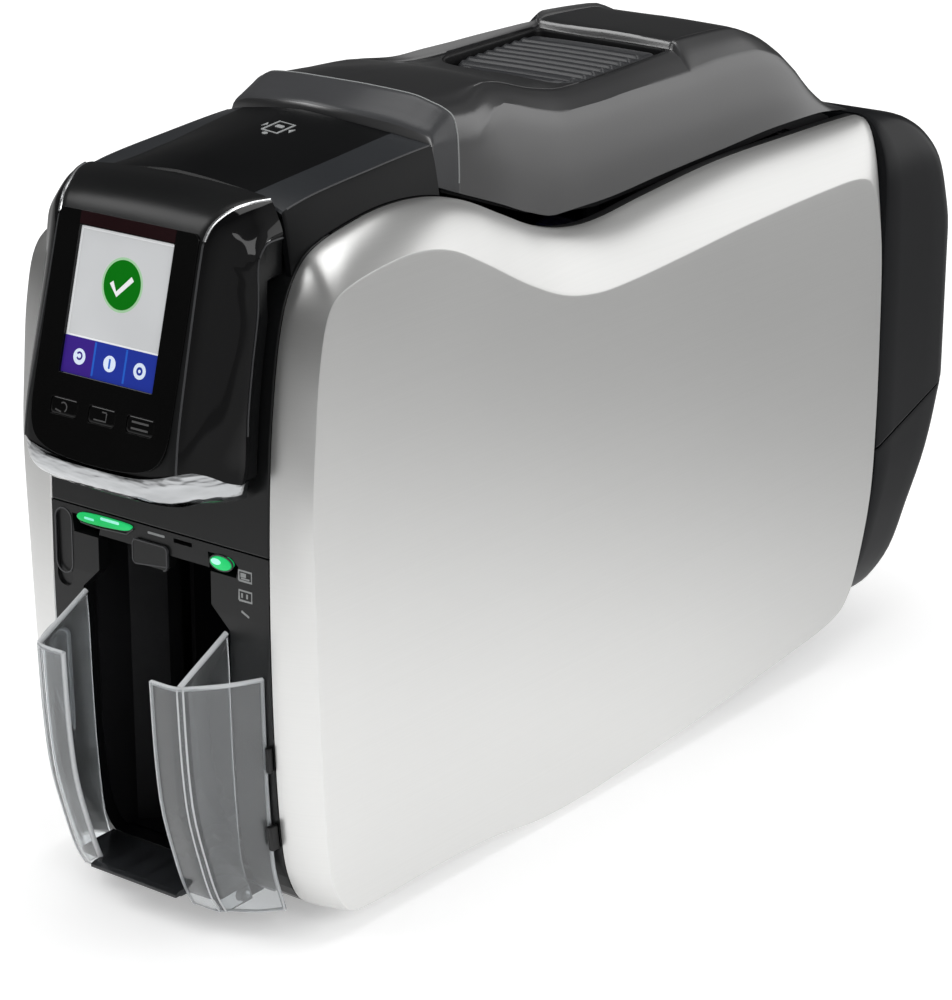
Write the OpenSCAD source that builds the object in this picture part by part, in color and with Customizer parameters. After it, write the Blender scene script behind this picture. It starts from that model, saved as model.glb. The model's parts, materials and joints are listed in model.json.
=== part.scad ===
// Desktop ID card printer with a hinged ribbon door and a front card hopper.
// Millimetres. Origin at the centre of the footprint on the table, +Z up,
// the front (screen and hopper) faces -Y and +X is the right-hand side.

/* [Body] */
// Width over the two side panels
body_w = 144; // [138:1:160]
// Width of the dark body between the panels' inner edges
core_w = 107.4; // [104:0.2:112]
// Distance from the origin forward to the front frame
front_reach = 212; // [206:1:220]
// Distance from the origin back to the rear edge of the side panels
panel_rear = 172; // [168:1:178]
// Distance from the origin back to the rear housing's back face
housing_reach = 244; // [236:1:250]
// Height of the silver line at the hump behind the screen
hump_z = 265.5; // [262:0.5:270]
// Height of the silver line in the dip beside the door
dip_z = 235; // [232:0.5:239]
// Height of the silver line at the rear
tail_z = 243.5; // [240:0.5:247]
// Thickness of the side panels' sheet
panel_t = 2.2; // [1.6:0.1:3]
// Thickness of the body's side walls
wall_t = 3.4; // [2.8:0.1:4]
// Height of the bevel between the silver line and the flat of the panel
bevel_h = 22; // [16:0.5:26]

/* [Control head] */
// Width of the head's flat front face
head_face_w = 70; // [66:1:76]
// Width of the head across its flanks
head_w = 100; // [94:1:102]
// Height of the head's lower edge
head_z = 178; // [174:1:184]
// Lean of the head's face from the vertical
head_tilt = 15.2; // [10:0.2:20]
// How far the head's lower edge stands in front of the frame
head_reach = 31.5; // [26:0.5:34]
// Width of the screen
screen_w = 45.2; // [40:0.2:50]
// Height of the screen
screen_h = 52.4; // [46:0.2:56]
// Width of one key
key_w = 13; // [9:0.5:15]
// Height of one key
key_h = 6; // [4:0.5:8]
// Travel of a key
key_travel = 0.7; // [0.4:0.1:1]

/* [Hopper] */
// Sideways place of the hopper's centre line
hopper_x = -2; // [-6:0.5:6]
// Width of the card channel
channel_w = 56; // [55:0.5:60]
// Width of the lower opening between the wings
mouth_w = 73; // [68:0.5:78]
// Height of the opening's upper edge
mouth_top = 141; // [136:0.5:145]
// Height where the wide lower opening ends
mouth_step = 119; // [114:0.5:124]
// Height of the hopper floor
floor_z = 15; // [12:0.5:18]
// How far the clear wings stand in front of the frame
wing_reach = 27; // [20:0.5:30]
// Width of the gap between the two wings' lips
wing_gap = 44; // [36:0.5:48]
// Thickness of the clear wings
wing_t = 2; // [1.4:0.1:2.4]
// Height of the wings' upper edge
wing_top = 104; // [96:0.5:110]

/* [Ribbon door] */
// Width over the door's skirts
door_w = 98.6; // [96:0.2:100.4]
// Half width of the door's raised middle at its shoulders
shoulder_x = 38; // [36:0.5:40]
// Height of the door's crown behind its front rim
crown_z = 298; // [294:0.5:302]
// Height of the hood behind the latch pad
hood_z = 291; // [288:0.5:294]
// Thickness of the door's shell
door_t = 2.6; // [2:0.1:3]
// Width of the latch pad at its middle
pad_w = 62; // [54:1:64]
// Length of the latch pad
pad_l = 58; // [54:1:62]
// Number of ribs on the latch pad
pad_ribs = 7; // [4:1:8]
// Diameter of the door's hinge pin
pin_d = 4; // [3:0.1:5]

/* [Mechanism] */
// Height of the roller axes
roller_z = 130; // [128:0.5:132]
// Diameter of the rubber rollers
roller_d = 14; // [12:0.5:18]
// Length of the rubber on the rollers
rubber_l = 62; // [56:1:72]
// Diameter of the roller shafts
shaft_d = 5; // [4:0.1:6]
// Gear module
gear_m = 1; // [0.9:0.05:1.1]
// Teeth on a roller gear
gear_teeth = 24; // [20:2:28]
// Teeth on an idler gear
idler_teeth = 36; // [32:4:40]
// Teeth on the motor pinion
pinion_teeth = 12; // [12:4:16]
// Width of the gears
gear_w = 5; // [4:0.5:7]
// Diameter of a full ribbon roll
ribbon_d = 34; // [26:1:38]
// Diameter of the ribbon cores
core_d = 18; // [14:0.5:22]
// Width of the ribbon film
film_w = 58; // [54:0.5:62]

/* [Fits] */
// Radial running clearance of shafts in their bores
run_gap = 0.05; // [0.02:0.01:0.09]
// Gap between pieces that are mounted together
seat_gap = 0.3; // [0.1:0.05:0.4]
// Gap round pieces that move past each other
move_gap = 0.6; // [0.4:0.1:0.9]

/* [Hidden] */
half_w = body_w / 2;
core_x = core_w / 2;
wall_in = core_x - wall_t;
front_y = -front_reach;
rear_y = housing_reach;
bevel_x = core_x + 0.2;
hump_y = front_y + 69;
frame_split_z = 150;
frame_t = 5;
head_y = front_y - head_reach;
head_top_z = 279;
head_back = front_y + 16;
deck_front = head_back + seat_gap;
door_rear = panel_rear + 2;
door_half = door_w / 2;
hinge_y = panel_rear - 12;
hinge_z = tail_z - 9;
pad_rear = 56;
pad_front = pad_rear - pad_l;
pad_z = 281;
pad_hinge = [52.5, pad_z + 2.4];
pad_pin_d = 2.4;
stem_x = 20;
stem_w = 5;
stem_y = 16;
bar_z = 262;
hook_x = 39;
strike_y = 8;
strike_z = 248;
liner_x = 42.8;
motor_shaft_d = 4;
head_hinge = [44, 166];
head_edge_z = roller_z + roller_d / 2 + 0.8;
board_z = 34;
inlet_x = -38;
ports_x = 24;
port_z = 146;
window_t = 2;
window_mid = 13.9;
window_h = 87.2;
key_xs = [-17.5, 1, 19.5];
key_up = -12;
key_depth = 5;
lip_z = 171;
lip_top = 181.3;
housing_half = half_w - 4;
gear_x = -core_x - 3;
roller_gap = gear_m * (gear_teeth + idler_teeth) / 2;
feed_y = -150;
transport_y = feed_y + 2 * roller_gap;
platen_y = transport_y + 2 * roller_gap;
idler_ys = [feed_y + roller_gap, transport_y + roller_gap];
pinion_z = roller_z - gear_m * (idler_teeth + pinion_teeth) / 2;
motor_y = idler_ys[1];
spool_z = 190;
supply_y = 62;
takeup_y = -92;
spool_pin_d = 6;
motor_boss_d = 11;
tray_t = 3;
foot_x = 40;
foot_d = 14;
foot_ys = [-150, 128];
liner_t = 2;
liner_back = -122;
lift_y = -165;
lug_w = 6;
lug_l = 5;
facets = 48;

// ---------- point and surface helpers ----------

function lerp(a, b, t) = a + (b - a) * t;

// One point of a Catmull-Rom curve through p1 and p2
function curve_point(p0, p1, p2, p3, t) =
  0.5 * (2 * p1 + (p2 - p0) * t + (2 * p0 - 5 * p1 + 4 * p2 - p3) * t * t
    + (3 * p1 - p0 - 3 * p2 + p3) * t * t * t);

// A closed smooth loop through the given points
function smooth_loop(pts, steps) = let (n = len(pts)) [
  for (i = [0:n - 1], k = [0:steps - 1])
    curve_point(pts[(i + n - 1) % n], pts[i], pts[(i + 1) % n], pts[(i + 2) % n], k / steps)
];

// A closed loop moved towards its inside by d; the loop runs clockwise
function inset(pts, d) = let (n = len(pts)) [
  for (i = [0:n - 1])
    let (a = pts[(i + n - 1) % n], b = pts[(i + 1) % n], e = (b - a) / norm(b - a))
      pts[i] + d * [e[1], -e[0]]
];

function at_x(pts, x) = [for (p = pts) [x, p[0], p[1]]];

// A closed solid from rings of equal length, with fans to a point at each end
module loft(rings, first, last) {
  m = len(rings);
  n = len(rings[0]);
  points = concat([for (r = rings, p = r) p], [first, last]);
  walls = [
    for (j = [0:m - 2], i = [0:n - 1])
      let (a = j * n + i, b = j * n + (i + 1) % n)
        each [[a, b, b + n], [a, b + n, a + n]]
  ];
  start = [for (i = [0:n - 1]) [m * n, (i + 1) % n, i]];
  end = [for (i = [0:n - 1]) [m * n + 1, (m - 1) * n + i, (m - 1) * n + (i + 1) % n]];
  polyhedron(points, concat(walls, start, end));
}

// A thick sheet between two grids of points with as many rows and columns
module sheet(outer, inner) {
  rows = len(outer);
  cols = len(outer[0]);
  half = rows * cols;
  points = concat([for (r = outer, p = r) p], [for (r = inner, p = r) p]);
  skin = [
    for (j = [0:rows - 2], i = [0:cols - 2])
      let (a = j * cols + i, b = a + 1, c = b + cols, d = a + cols)
        each [[a, b, c], [a, c, d], [half + a, half + c, half + b], [half + a, half + d, half + c]]
  ];
  sides = [
    for (j = [0:rows - 2])
      let (a = j * cols, d = a + cols, b = a + cols - 1, c = b + cols)
        each [[a, d, half + d], [a, half + d, half + a], [b, half + c, c], [b, half + b, half + c]]
  ];
  ends = [
    for (i = [0:cols - 2])
      let (a = i, b = i + 1, c = (rows - 1) * cols + i, d = c + 1)
        each [[a, half + b, b], [a, half + a, half + b], [c, d, half + d], [c, half + d, half + c]]
  ];
  polyhedron(points, concat(skin, sides, ends));
}

// A cylinder along X from x0 to x1 at [y, z]
module rod(x0, x1, y, z, d) {
  translate([x0, y, z]) rotate([0, 90, 0]) cylinder(h = x1 - x0, d = d, $fn = facets);
}

// A plate in the YZ plane, extruded from x0 to x1
module side_plate(x0, x1) {
  translate([x0, 0, 0]) rotate([90, 0, 90]) linear_extrude(x1 - x0) children();
}

// A plate in the XZ plane, extruded from y0 to y1
module front_plate(y0, y1) {
  translate([0, y1, 0]) rotate([90, 0, 0]) linear_extrude(y1 - y0) children();
}

module rounded(size, r) {
  hull()
    for (x = [-1, 1], y = [-1, 1])
      translate([x * (size[0] / 2 - r), y * (size[1] / 2 - r)]) circle(r, $fn = 24);
}

// A gear outline with straight-flanked teeth, one tooth on the first axis
module gear_2d(teeth) {
  pitch_r = gear_m * teeth / 2;
  step = 360 / teeth;
  polygon([
    for (i = [0:teeth - 1], c = [
      [-0.36, -1.2], [-0.22, 0], [-0.11, 0.9], [0.11, 0.9], [0.22, 0], [0.36, -1.2]
    ])
      let (a = step * (i + c[0]), r = pitch_r + gear_m * c[1]) [r * cos(a), r * sin(a)]
  ]);
}

// ---------- the outlines of the silver panels ----------

// Silver line where the panel meets the dark body, clockwise seen from +X
rim_keys = [
  [front_y + 34, 8.5], [front_y + 16, 11], [front_y + 7, 24], [front_y + 3, 45],
  [front_y + 0.8, 80], [front_y, 125], [front_y + 1.2, 172], [front_y + 4, 205],
  [front_y + 9, 233], [front_y + 16, 249], [front_y + 27, hump_z - 7.5],
  [front_y + 49, hump_z - 2], [hump_y, hump_z], [front_y + 90, hump_z - 1.5],
  [front_y + 111, hump_z - 7], [front_y + 132, dip_z + 14.5], [front_y + 152, dip_z + 6],
  [front_y + 172, dip_z + 1], [front_y + 194, dip_z], [15, lerp(dip_z, tail_z, 0.4)],
  [65, lerp(dip_z, tail_z, 0.9)], [panel_rear - 50, tail_z], [panel_rear - 10, tail_z],
  [panel_rear + 2, tail_z - 1.2], [panel_rear + 6, tail_z - 7], [panel_rear + 7, 205],
  [panel_rear + 5, 160], [panel_rear + 3, 115], [panel_rear, 76], [panel_rear - 8, 49],
  [panel_rear - 18, 30], [panel_rear - 32, 22], [105, 17], [37, 10], [-8, 6.5],
  [-45, 4.2], [-75, 4.5], [-105, 8], [-140, 9]
];

// Crease round the flat of the panel, point for point with the silver line
crease_keys = [
  [front_y + 34, 8.5], [front_y + 20, 11.5], [front_y + 12, 25], [front_y + 9, 45],
  [front_y + 7, 80], [front_y + 5.5, 125], [front_y + 4.5, 168], [front_y + 6.5, 196],
  [front_y + 9.5, 222], [front_y + 15, hump_z - 25], [front_y + 26, hump_z - 18],
  [front_y + 50, hump_z - 14], [hump_y - 1, hump_z - 14], [front_y + 85, hump_z - 18],
  [front_y + 105, dip_z - bevel_h + 25], [front_y + 127, dip_z - bevel_h + 13.5],
  [front_y + 150, dip_z - bevel_h + 4], [front_y + 172, dip_z - bevel_h],
  [front_y + 194, dip_z - bevel_h], [15, lerp(dip_z, tail_z, 0.25) - bevel_h],
  [65, lerp(dip_z, tail_z, 0.7) - bevel_h], [panel_rear - 55, tail_z - bevel_h],
  [panel_rear - 22, tail_z - bevel_h], [panel_rear - 10, tail_z - bevel_h - 6],
  [panel_rear - 4, 200], [panel_rear - 1, 180], [panel_rear, 145], [panel_rear, 110],
  [panel_rear - 2, 76], [panel_rear - 9, 49], [panel_rear - 18, 30], [panel_rear - 32, 22],
  [105, 17], [37, 10], [-8, 6.5], [-45, 4.2], [-75, 4.5], [-105, 8], [-140, 9]
];
rim = smooth_loop(rim_keys, 3);
crease = smooth_loop(crease_keys, 3);
panel_middle = [-20, 120];

// Height of the silver line over the body at a place along Y
top_table = [for (k = [24:69]) rim[k]];
function silver_z(y) = lookup(y, top_table);

// ---------- body ----------

module panel_right() {
  rings = [
    at_x(inset(crease, 3), half_w - panel_t),
    at_x(inset(rim, panel_t), bevel_x),
    at_x(rim, bevel_x),
    at_x([for (i = [0:len(rim) - 1]) lerp(rim[i], crease[i], 0.3)], lerp(bevel_x, half_w, 0.56)),
    at_x(crease, half_w - 1.2),
    at_x(inset(crease, 4), half_w - 0.3)
  ];
  loft(rings, [half_w - panel_t + 0.3, panel_middle[0], panel_middle[1]],
    [half_w, panel_middle[0], panel_middle[1]]);
}

module right_side_panel() { color("silver") panel_right(); }

module left_side_panel() { color("silver") mirror([1, 0, 0]) panel_right(); }

// Where the front frame's band ends on the hump and under the body
band_end = front_y + 37;

// The curved band of the front frame, seen from the side
module band_2d(gap = 0) {
  intersection() {
    difference() {
      polygon(rim);
      polygon(inset(rim, frame_t + gap));
    }
    translate([front_y - 1, 0]) square([band_end + gap - front_y + 1, 400]);
  }
}

// The body wall that carries a side panel, the axles and the door's hinge
module body_wall(x0) {
  difference() {
    side_plate(x0, x0 + wall_t) difference() {
      polygon(rim);
      band_2d(seat_gap);
    }
    for (y = [feed_y, transport_y, platen_y])
      rod(x0 - 1, x0 + wall_t + 1, y, roller_z, shaft_d + 2 * run_gap);
    for (y = [supply_y, takeup_y])
      rod(x0 - 1, x0 + wall_t + 1, y, spool_z, spool_pin_d + 2 * run_gap);
    rod(x0 - 1, x0 + wall_t + 1, hinge_y, hinge_z, pin_d);
  }
}

module right_wall() {
  color([0.1, 0.1, 0.11]) body_wall(wall_in);
}

module left_wall() {
  color([0.1, 0.1, 0.11]) {
    difference() {
      body_wall(-core_x);
      rod(-core_x - 1, 1 - wall_in, motor_y, pinion_z, motor_boss_d + 2 * seat_gap);
    }
    // Fixed studs for the two idler gears
    for (y = idler_ys) rod(gear_x - gear_w - 1, -wall_in, y, roller_z, shaft_d);
  }
}

// Underside of the body along Y
bottom_table = [for (k = [38:-1:30]) rim_keys[k]];
function floor_top(y) = lookup(y, bottom_table) + seat_gap + tray_t;

// The floor of the body between its walls, with cross ribs
module base_tray() {
  inner = wall_in - seat_gap;
  color([0.08, 0.08, 0.09]) difference() {
    side_plate(-inner, inner) intersection() {
      difference() {
        polygon(inset(rim, seat_gap));
        polygon(inset(rim, seat_gap + tray_t));
      }
      translate([band_end + 2, 0]) square([panel_rear - band_end - 6, 40]);
    }
    // Air slots under the mainboard
    for (x = [-30:10:30]) translate([x - 2, 20, 0]) cube([4, 55, 20]);
  }
  color([0.08, 0.08, 0.09]) for (y = [-100:20:0])
    translate([-inner, y, floor_top(y) - 1.5]) cube([2 * inner, 2.5, 7]);
}

// Rubber feet that end on the underside of the body
module feet() {
  color([0.05, 0.05, 0.05]) difference() {
    for (x = [-1, 1], y = foot_ys) translate([x * foot_x, y, 0]) {
      cylinder(h = 2.5, d1 = foot_d - 1, d2 = foot_d, $fn = facets);
      translate([0, 0, 2.5]) cylinder(h = 25, d = foot_d, $fn = facets);
    }
    side_plate(-half_w, half_w) polygon(rim);
  }
}

// ---------- front frame and hopper ----------

// Outline of the opening in the lower frame, seen from the front
module mouth_2d() {
  narrow = channel_w / 2;
  wide = mouth_w / 2;
  translate([hopper_x, 0]) polygon([
    [-wide, floor_z], [wide, floor_z], [wide, mouth_step], [narrow, mouth_step + 8],
    [narrow, mouth_top], [7, mouth_top], [6, mouth_top - 6], [-8, mouth_top - 6],
    [-9, mouth_top], [-narrow, mouth_top], [-narrow, mouth_step + 8], [-wide, mouth_step]
  ]);
}

module hopper_bezel() {
  // Ears that carry the hinge studs of the clear wings
  color([0.14, 0.14, 0.15]) for (s = [-1, 1]) difference() {
    union() {
      rod(hopper_x + s * 31.8 - 1.8, hopper_x + s * 31.8 + 1.8, wing_hinge[0], wing_hinge[1], 6.4);
      translate([hopper_x + s * 31.8 - 1.8, wing_hinge[0], wing_hinge[1] - 2.9])
        cube([3.6, 12, 6.1]);
    }
    rod(hopper_x - 40, hopper_x + 40, wing_hinge[0], wing_hinge[1], wing_pin_d + 2 * run_gap);
  }
  color([0.14, 0.14, 0.15]) difference() {
    side_plate(-core_x, core_x) intersection() {
      band_2d();
      translate([front_y - 1, 0]) square([60, frame_split_z - seat_gap / 2]);
    }
    front_plate(front_y - 1, front_y + 45) mouth_2d();
    // Pockets for the light guides beside the channel
    for (s = [-1, 1]) front_plate(front_y - 1, front_y + 20) guide_2d(s, seat_gap);
    // Rounded recess of the side lock
    translate([6 - core_x, front_y + 1.2, 132]) rotate([90, 0, 0])
      linear_extrude(3) rounded([8, 30], 4);
    // Feed slot for single cards under the head
    translate([hopper_x + 10, front_y - 1, mouth_top + 5.5]) cube([9, 4, 1.6]);
  }
}

// Outline of one green light guide, seen from the front
module guide_2d(side, gap = 0) {
  translate([hopper_x + side * (channel_w / 2 + 6), mouth_top + 2]) offset(delta = gap)
    polygon([[-6, -3], [6, -3], [7, 1], [4, 3.5], [-7, 3.5]]);
}

module light_guides() {
  color([0.2, 0.9, 0.35, 0.8]) for (s = [-1, 1]) front_plate(front_y - 1.2, front_y + 8) guide_2d(s);
}

// Card channel behind the frame: guide walls, floor and back
module hopper_liner() {
  wide = mouth_w / 2;
  narrow = channel_w / 2;
  y0 = front_y + frame_t + 2;
  color([0.05, 0.05, 0.055]) intersection() {
    side_plate(-half_w, half_w) polygon(inset(rim, frame_t + seat_gap));
    difference() {
      channel_walls(wide, narrow, y0);
      rod(-half_w, half_w, feed_y, roller_z, shaft_d + 2 * move_gap);
    }
  }
}

module channel_walls(wide, narrow, y0) {
  translate([hopper_x, 0, 0]) {
    for (s = [0, 1]) mirror([s, 0, 0]) {
      translate([0, 0, floor_z - liner_t]) linear_extrude(mouth_top - floor_z) difference() {
        polygon([
          [wide, y0], [wide + liner_t, y0], [wide + liner_t, y0 + 18],
          [narrow + liner_t, y0 + 30], [narrow + liner_t, liner_back],
          [narrow, liner_back], [narrow, y0 + 29], [wide, y0 + 17]
        ]);
        translate([narrow - 1, lift_y - lug_w / 2 - move_gap])
          square([1 + lug_l + move_gap, lug_w + 2 * move_gap]);
      }
    }
    translate([0, 0, floor_z - liner_t]) linear_extrude(liner_t)
      polygon([
        [-wide, y0], [wide, y0], [wide, y0 + 17], [narrow, y0 + 29], [narrow, liner_back],
        [-narrow, liner_back], [-narrow, y0 + 29], [-wide, y0 + 17]
      ]);
    translate([-narrow - liner_t, liner_back, floor_z - liner_t])
      cube([2 * (narrow + liner_t), liner_t, roller_z - roller_d / 2 - floor_z - 4]);
  }
}

// Plate that lifts the cards to the feed roller, with a lug in each wall's slot
module lift_plate() {
  w = channel_w / 2 - move_gap;
  color([0.2, 0.2, 0.22]) translate([hopper_x, 0, floor_z + seat_gap]) {
    difference() {
      linear_extrude(2) polygon([
        [-w, front_y + 32], [w, front_y + 32], [w, liner_back - 1], [-w, liner_back - 1]
      ]);
      translate([0, front_y + 40, -1]) linear_extrude(4) rounded([20, 10], 4);
    }
    translate([-w, liner_back - 4, 2]) cube([2 * w, 2, 4]);
    translate([-w - lug_l, lift_y - lug_w / 2, 0]) cube([2 * w + 2 * lug_l, lug_w, 5]);
  }
}

// Depth and rear edge of the clear wings by height
wing_depths = [[9, 8], [16, 12], [30, 17], [58, 24], [80, 26], [wing_top, wing_reach]];
wing_backs = [[9, front_y + 9.5], [30, front_y + 3.5], [76, front_y + 0.5], [120, front_y - 0.3]];
wing_zs = [9, 16, 24, 34, 48, 66, 84, wing_top];
wing_hinge = [front_y + 7, 11.5];
wing_pin_d = 3;
wing_side = mouth_w / 2;

// Front of the frame at a height
frame_table = [for (k = [3:24]) [rim[k][1], rim[k][0]]];
function frame_y(z) = lookup(z, frame_table);
function wing_back(z) = lookup(z, wing_backs);
function wing_front(z) = front_y - lookup(z, wing_depths);

// One row of the outer skin, from the lip round the corner to the frame
function wing_row(z, t, far) =
  let (y0 = wing_back(z), y1 = wing_front(z), side = wing_side)
    [[wing_gap / 2, y1 + t, z], [side - 6, y1 + t, z], [side - 2 - t * 0.4, y1 + 0.8 + t, z],
     [side + 1.5 - t * 0.7, y1 + 4 + t * 0.7, z],
     [lerp(side, far, 0.6) - t * 0.8, lerp(y0, y1, 0.45), z], [far - t, y0, z]];

module wing(far) {
  sheet([for (z = wing_zs) wing_row(z, wing_t, far)], [for (z = wing_zs) wing_row(z, 0, far)]);
  // Inner wall beside the cards, with the hinge stud
  side_plate(wing_side - 0.4 - wing_t, wing_side - 0.4) polygon(concat(
    [for (z = wing_zs) [wing_back(z), z]],
    [[front_y - 0.4, wing_top + 14], [wing_front(wing_top) + 0.5, wing_top]],
    [for (k = [len(wing_zs) - 2:-1:0]) [wing_front(wing_zs[k]) + 1, wing_zs[k]]]
  ));
  rod(wing_side - 7.4, wing_side - 1, wing_hinge[0], wing_hinge[1], wing_pin_d);
}

module wing_left() {
  color([0.85, 0.88, 0.9, 0.4]) translate([hopper_x, 0, 0]) mirror([1, 0, 0])
    wing(core_x - 2.7 + hopper_x);
}

module wing_right() {
  color([0.85, 0.88, 0.9, 0.4]) translate([hopper_x, 0, 0]) wing(core_x - 2.7 - hopper_x);
}

// Ramp between the wings that the cards slide over
module wing_bridge() {
  half = wing_side - 0.4 - wing_t;
  color([0.12, 0.12, 0.13]) translate([hopper_x, 0, 0]) {
    // Tongue between the lips, and the full width behind them
    side_plate(seat_gap - wing_gap / 2, wing_gap / 2 - seat_gap) polygon([
      [front_y - 17, floor_z - 0.4], [front_y + 1, floor_z], [front_y + 1, floor_z + 2.2],
      [front_y - 15, floor_z + 1.6], [front_y - 17, floor_z + 0.8]
    ]);
    side_plate(-half, half) polygon([
      [front_y - 8.6, floor_z - 0.2], [front_y + 8, floor_z + 0.2], [front_y + 8, floor_z + 2.4],
      [front_y - 8.6, floor_z + 1.8]
    ]);
    for (x = [-20:10:20]) translate([x - 0.6, front_y - 13, floor_z - 1.6]) cube([1.2, 17, 2]);
  }
}

// Small dark clips on the frame beside the wings
module wing_clips() {
  color([0.05, 0.05, 0.05]) for (s = [-1, 1], c = [[2.4, 73], [4.5, 42]])
    side_plate(s * (core_x - 1.3) - 1.1, s * (core_x - 1.3) + 1.1) polygon([
      [frame_y(c[1] + 5) - c[0], c[1] + 5], [frame_y(c[1] + 5) - seat_gap, c[1] + 5],
      [frame_y(c[1] - 5) - seat_gap, c[1] - 5], [frame_y(c[1] - 5) - c[0], c[1] - 5]
    ]);
}

// ---------- control head ----------

face_z = 211;
face_y = head_y + 8.5;
face_top = 265;

// Front of the head's face at a height
function head_face_y(z) = face_y + (z - face_z) * tan(head_tilt);

// Puts children on the head's face: X sideways, Y up the face, Z outwards
module on_face() {
  translate([0, face_y, face_z]) rotate([90 - head_tilt, 0, 0]) children();
}

function rear_point(z) = [frame_y(z) - 0.5, z];

// Outline of the head from its lower edge over the top: front point, rear point, place of
// the flank's rear edge between them, sag of the corners and extra half width of the face
head_rows = [
  [[head_face_y(head_z) + 3.2, head_z], rear_point(head_z), 0.62, 0, 1.2],
  [[head_face_y(184) + 1.8, 184], rear_point(186), 0.78, 0, 1.6],
  [[head_face_y(194) + 0.5, 194], rear_point(197), 0.84, 0, 1.4],
  [[head_face_y(204), 204], rear_point(206), 0.7, 0, 1],
  [[head_face_y(222), 222], rear_point(221), 0.66, 0, 0.3],
  [[head_face_y(244), 244], rear_point(235), 0.68, 0, -0.4],
  [[head_face_y(face_top), face_top], rear_point(244), 0.6, 0.3, -0.6],
  [[front_y - 4, 271.5], rear_point(246.6), 0.55, 1, 1],
  [[front_y + 2.5, 275.8], rear_point(247.8), 0.5, 2.2, 3.6],
  [[front_y + 9, 278.2], rear_point(248.8), 0.5, 3.8, 6.4],
  [[head_back, head_top_z], [head_back, 249.8], 0.56, 5, 9.5]
];
head_face_half = head_face_w / 2;

function head_point(row, x, u, lift = 0) =
  let (p = lerp(row[0], row[1], u), n = (row[0] - row[1]) / norm(row[0] - row[1]))
    [x, p[0] + n[0] * lift, p[1] + n[1] * lift];

function head_ring(row) = let (w = head_face_half + row[4], sag = row[3] * 0.7) [
  head_point(row, -w, 0, -sag), head_point(row, -w, 1), head_point(row, w, 1),
  head_point(row, w, 0, -sag), head_point(row, w * 0.55, 0, -sag * 0.3),
  head_point(row, 0, 0), head_point(row, -w * 0.55, 0, -sag * 0.3)
];

function flank_ring(row) = let (w = head_face_half + row[4] + 0.1, h = head_w / 2, f = row[2]) [
  head_point(row, w, 0.02, -row[3] * 0.7), head_point(row, w, 1), head_point(row, h - 3.5, 1),
  head_point(row, h - 3.5, min(f + 0.1, 0.97)), head_point(row, h - 0.8, f + 0.03),
  head_point(row, h, f - 0.06), head_point(row, lerp(w, h, 0.82), f * 0.67),
  head_point(row, lerp(w, h, 0.57), f * 0.45), head_point(row, lerp(w, h, 0.29), f * 0.21)
];

function mean(ring) = [for (k = [0:2]) ring_sum(ring, k, len(ring) - 1) / len(ring)];
function ring_sum(ring, k, i) = i < 0 ? 0 : ring[i][k] + ring_sum(ring, k, i - 1);

module ring_loft(rings) {
  loft(rings, mean(rings[0]), mean(rings[len(rings) - 1]));
}

module head_shell() {
  color([0.07, 0.07, 0.08]) difference() {
    intersection() {
      ring_loft([for (r = head_rows) head_ring(r)]);
      above_lip(seat_gap / 2);
    }
    on_face() {
      translate([0, window_mid, -window_t]) linear_extrude(window_t + 1) window_2d(seat_gap / 2);
      for (x = key_xs) translate([x, key_up, -key_depth - key_travel - seat_gap])
        linear_extrude(20) rounded([key_w + 2 * move_gap + 3, key_h + 2 * move_gap + 3], 2);
    }
  }
}

module head_flanks() {
  color([0.02, 0.02, 0.02]) for (s = [0, 1]) mirror([s, 0, 0]) intersection() {
    ring_loft([for (r = head_rows) flank_ring(r)]);
    above_lip(seat_gap / 2);
  }
}

// Height of the joint between the bright lip and the head above it
lip_rise = [[0, 0], [20, 0.3], [30, 2], [38, 4.4], [42, 4], [47, 0.5], [52, -3]];

module above_lip(gap) {
  front_plate(front_y - 60, front_y + 20) polygon(concat(
    [for (x = [-56:4:56]) [x, lip_top + lookup(abs(x), lip_rise) + gap]], [[56, 300], [-56, 300]]
  ));
}

// Half outline of the lip seen from above, from the frame round the corner to the middle
lip_half = [[49, -3], [50, -9], [47.5, -13.5], [44, -18], [40, -23.2], [36, -28], [28, -30.4],
  [14, -31.4]];

function lip_ring(z, d) = [
  for (k = [0:7]) lip_point(lip_half[k], 1, z, d),
  for (k = [7:-1:0]) lip_point(lip_half[k], -1, z, d)
];
function lip_point(p, side, z, d) = [side * p[0] * (1 - d / 50), front_y + p[1] + (p[1] < -5 ? d : 0), z];

// Bright lip under the head, following its lower edge
module head_lip() {
  color([0.8, 0.8, 0.8]) difference() {
    ring_loft([lip_ring(lip_z, 6), lip_ring(lip_z + 1, 4.4), lip_ring(lip_z + 3.5, 2),
      lip_ring(lip_z + 7, 0.6), lip_ring(lip_z + 19, 0)]);
    above_lip(-seat_gap / 2);
  }
}

// Outline of the black window: rounded lower corners, straight upper edge
module window_2d(gap = 0) {
  half = head_face_half - 1.4 + gap;
  h = window_h / 2 + gap;
  polygon(concat(
    [[half, h], [-half, h]],
    [for (a = [180:15:270]) [-half + 14 + 14 * cos(a), -h + 14 + 14 * sin(a)]],
    [for (a = [270:15:360]) [half - 14 + 14 * cos(a), -h + 14 + 14 * sin(a)]]
  ));
}

module display_window() {
  color([0.01, 0.01, 0.01]) on_face() difference() {
    translate([0, window_mid, -window_t]) linear_extrude(window_t) window_2d();
    translate([0, screen_h / 2, -window_t - 1]) linear_extrude(window_t + 2)
      square([screen_w, screen_h], center = true);
    for (x = key_xs) translate([x, key_up, -window_t - 1]) linear_extrude(window_t + 2)
      rounded([key_w + 2 * move_gap, key_h + 2 * move_gap], 1.8);
  }
}

module display_panel() {
  color([0.85, 0.85, 0.85]) on_face() translate([0, screen_h / 2, -window_t]) {
    linear_extrude(window_t - 0.3) square([screen_w - 0.4, screen_h - 0.4], center = true);
  }
}

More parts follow.
